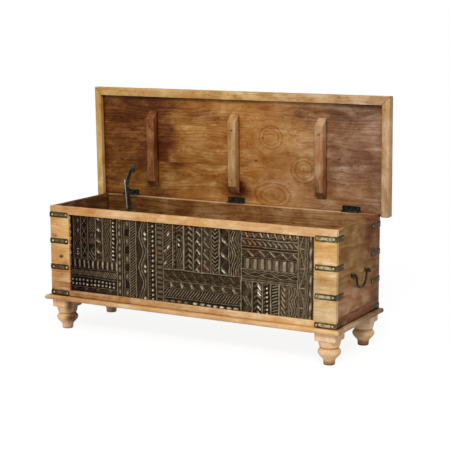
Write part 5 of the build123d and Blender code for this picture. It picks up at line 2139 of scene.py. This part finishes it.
@dataclass
class Stage:
    """The floor, the light and the camera."""

    frame_width: float = 450.0
    focal: float = 1295.02
    sensor: float = 36.0
    yaw: float = 28.751
    pitch: float = 9.538
    roll: float = -0.10
    eye: tuple[float, float, float] = (2351.24, -4181.2, 1232.64)
    room: float = 0.3
    shadow: float = 0.16
    lit: float = 0.66
    floor_half: float = 12.0

    def camera(self) -> None:
        """Set the camera: its focal length in picture widths, and its place and angles."""
        data = bpy.data.cameras.new("camera")
        data.sensor_width = self.sensor
        data.lens = self.focal / self.frame_width * self.sensor
        data.clip_end = 50.0
        yaw, pitch, roll = (math.radians(angle) for angle in (self.yaw, self.pitch, self.roll))
        facing = Euler((math.pi / 2 - pitch, 0.0, yaw)).to_matrix()
        turn = facing @ Matrix.Rotation(roll, 3, "Z")
        holder = bpy.data.objects.new("camera", data)
        holder.matrix_world = Matrix.Translation(Vector(self.eye) * MM) @ turn.to_4x4()
        bpy.context.scene.collection.objects.link(holder)
        bpy.context.scene.camera = holder

    def lamp(self, name: str, place: Vector, aim: float, size: float, power: float) -> None:
        """Hang a soft square lamp that faces the chest's middle.

        Args:
            name: the lamp's name.
            place: where it hangs, in metres.
            aim: the height that it faces.
            size: its side.
            power: its output in watts.
        """
        data = bpy.data.lights.new(name, "AREA")
        data.shape = "SQUARE"
        data.size = size
        data.energy = power
        lamp = bpy.data.objects.new(name, data)
        lamp.location = place
        ahead = Vector((0.0, 0.0, aim)) - place
        lamp.rotation_euler = ahead.to_track_quat("-Z", "Y").to_euler()
        bpy.context.scene.collection.objects.link(lamp)

    def seen(self, shader: Shader) -> Socket:
        """Give 1 for rays that look at the stage, straight, mirrored or through glass, or else 0."""
        rays = shader.node("LightPath", {}).outputs
        straight = shader.most(rays["Is Camera Ray"], rays["Is Glossy Ray"])
        return shader.most(straight, rays["Is Transmission Ray"])

    def floor(self) -> None:
        """Lay a pale floor that shows white but keeps the chest's shadow.

        Looked at, it glows almost white and a small share of it takes light; that share fades
        out away from the chest, and the glow leaves room for just the light that it takes where
        nothing shades it. Other light meets a plain pale floor.
        """
        half = self.floor_half
        mesh = bpy.data.meshes.new("floor")
        square = [(-half, -half, 0), (half, -half, 0), (half, half, 0), (-half, half, 0)]
        mesh.from_pydata(square, [], [(0, 1, 2, 3)])
        shader = Shader("floor")
        seen = self.seen(shader)
        near = shader.fade(shader.vector("LENGTH", shader.place), 2.2, 0.9, 0.0, self.shadow)
        pale = shader.scaled(shader.math("SUBTRACT", 1.0, seen), 0.8, shader.times(seen, near))
        glow = shader.times(seen, shader.scaled(near, -self.lit, 1.0))
        light = shader.node("Emission", {"Color": (1.0, 1.0, 1.0, 1.0), "Strength": glow})
        matt = shader.node("BsdfDiffuse", {"Color": shader.combined(pale, pale, pale)})
        both = shader.node("AddShader", {0: matt.outputs[0], 1: light.outputs[0]})
        mesh.materials.append(shader.close(both))
        floor = bpy.data.objects.new("floor", mesh)
        bpy.context.scene.collection.objects.link(floor)

    def world(self) -> None:
        """Fill the room with even light and show it white."""
        shader = Shader("room", world=True)
        bright = {"Value": self.seen(shader), "To Min": self.room, "To Max": 1.0}
        strength = shader.node("MapRange", bright).outputs[0]
        background = {"Color": (1.0, 1.0, 1.0, 1.0), "Strength": strength}
        shader.close(shader.node("Background", background))
        bpy.context.scene.world = shader.owner

    def build(self) -> None:
        """Set the floor, the light, the camera and the picture's tone."""
        self.floor()
        self.world()
        self.lamp("key", Vector((2.4, -4.4, 4.0)), 0.45, 1.6, 230.0)
        self.lamp("fill", Vector((-3.6, -4.6, 1.6)), 0.4, 2.6, 40.0)
        self.lamp("top", Vector((0.0, -1.2, 4.2)), 0.3, 2.0, 40.0)
        self.camera()
        bpy.context.scene.view_settings.view_transform = "Standard"


def main() -> None:
    """Build every piece of the chest in order, then its stage."""
    logging.basicConfig(level=logging.INFO, format="%(name)s: %(message)s")
    workshop = Workshop(frame["record"])
    Carcass().build(workshop)
    for number in range(1, 6):
        CarvedFront().build(workshop, f"carved_board_{number}")
    for end_name in ("front", "back"):
        # The left feet carry a painted shadow down one side.
        for side_name, wood in (("left", SHADED_SIDE_FOOT), ("right", DARK_TOE)):
            TurnedFoot(wood).build(workshop, f"foot_{end_name}_{side_name}")
    Ironwork().build(workshop)
    Lid().build(workshop)
    Stage().build()


if __name__ == "__main__":
    main()
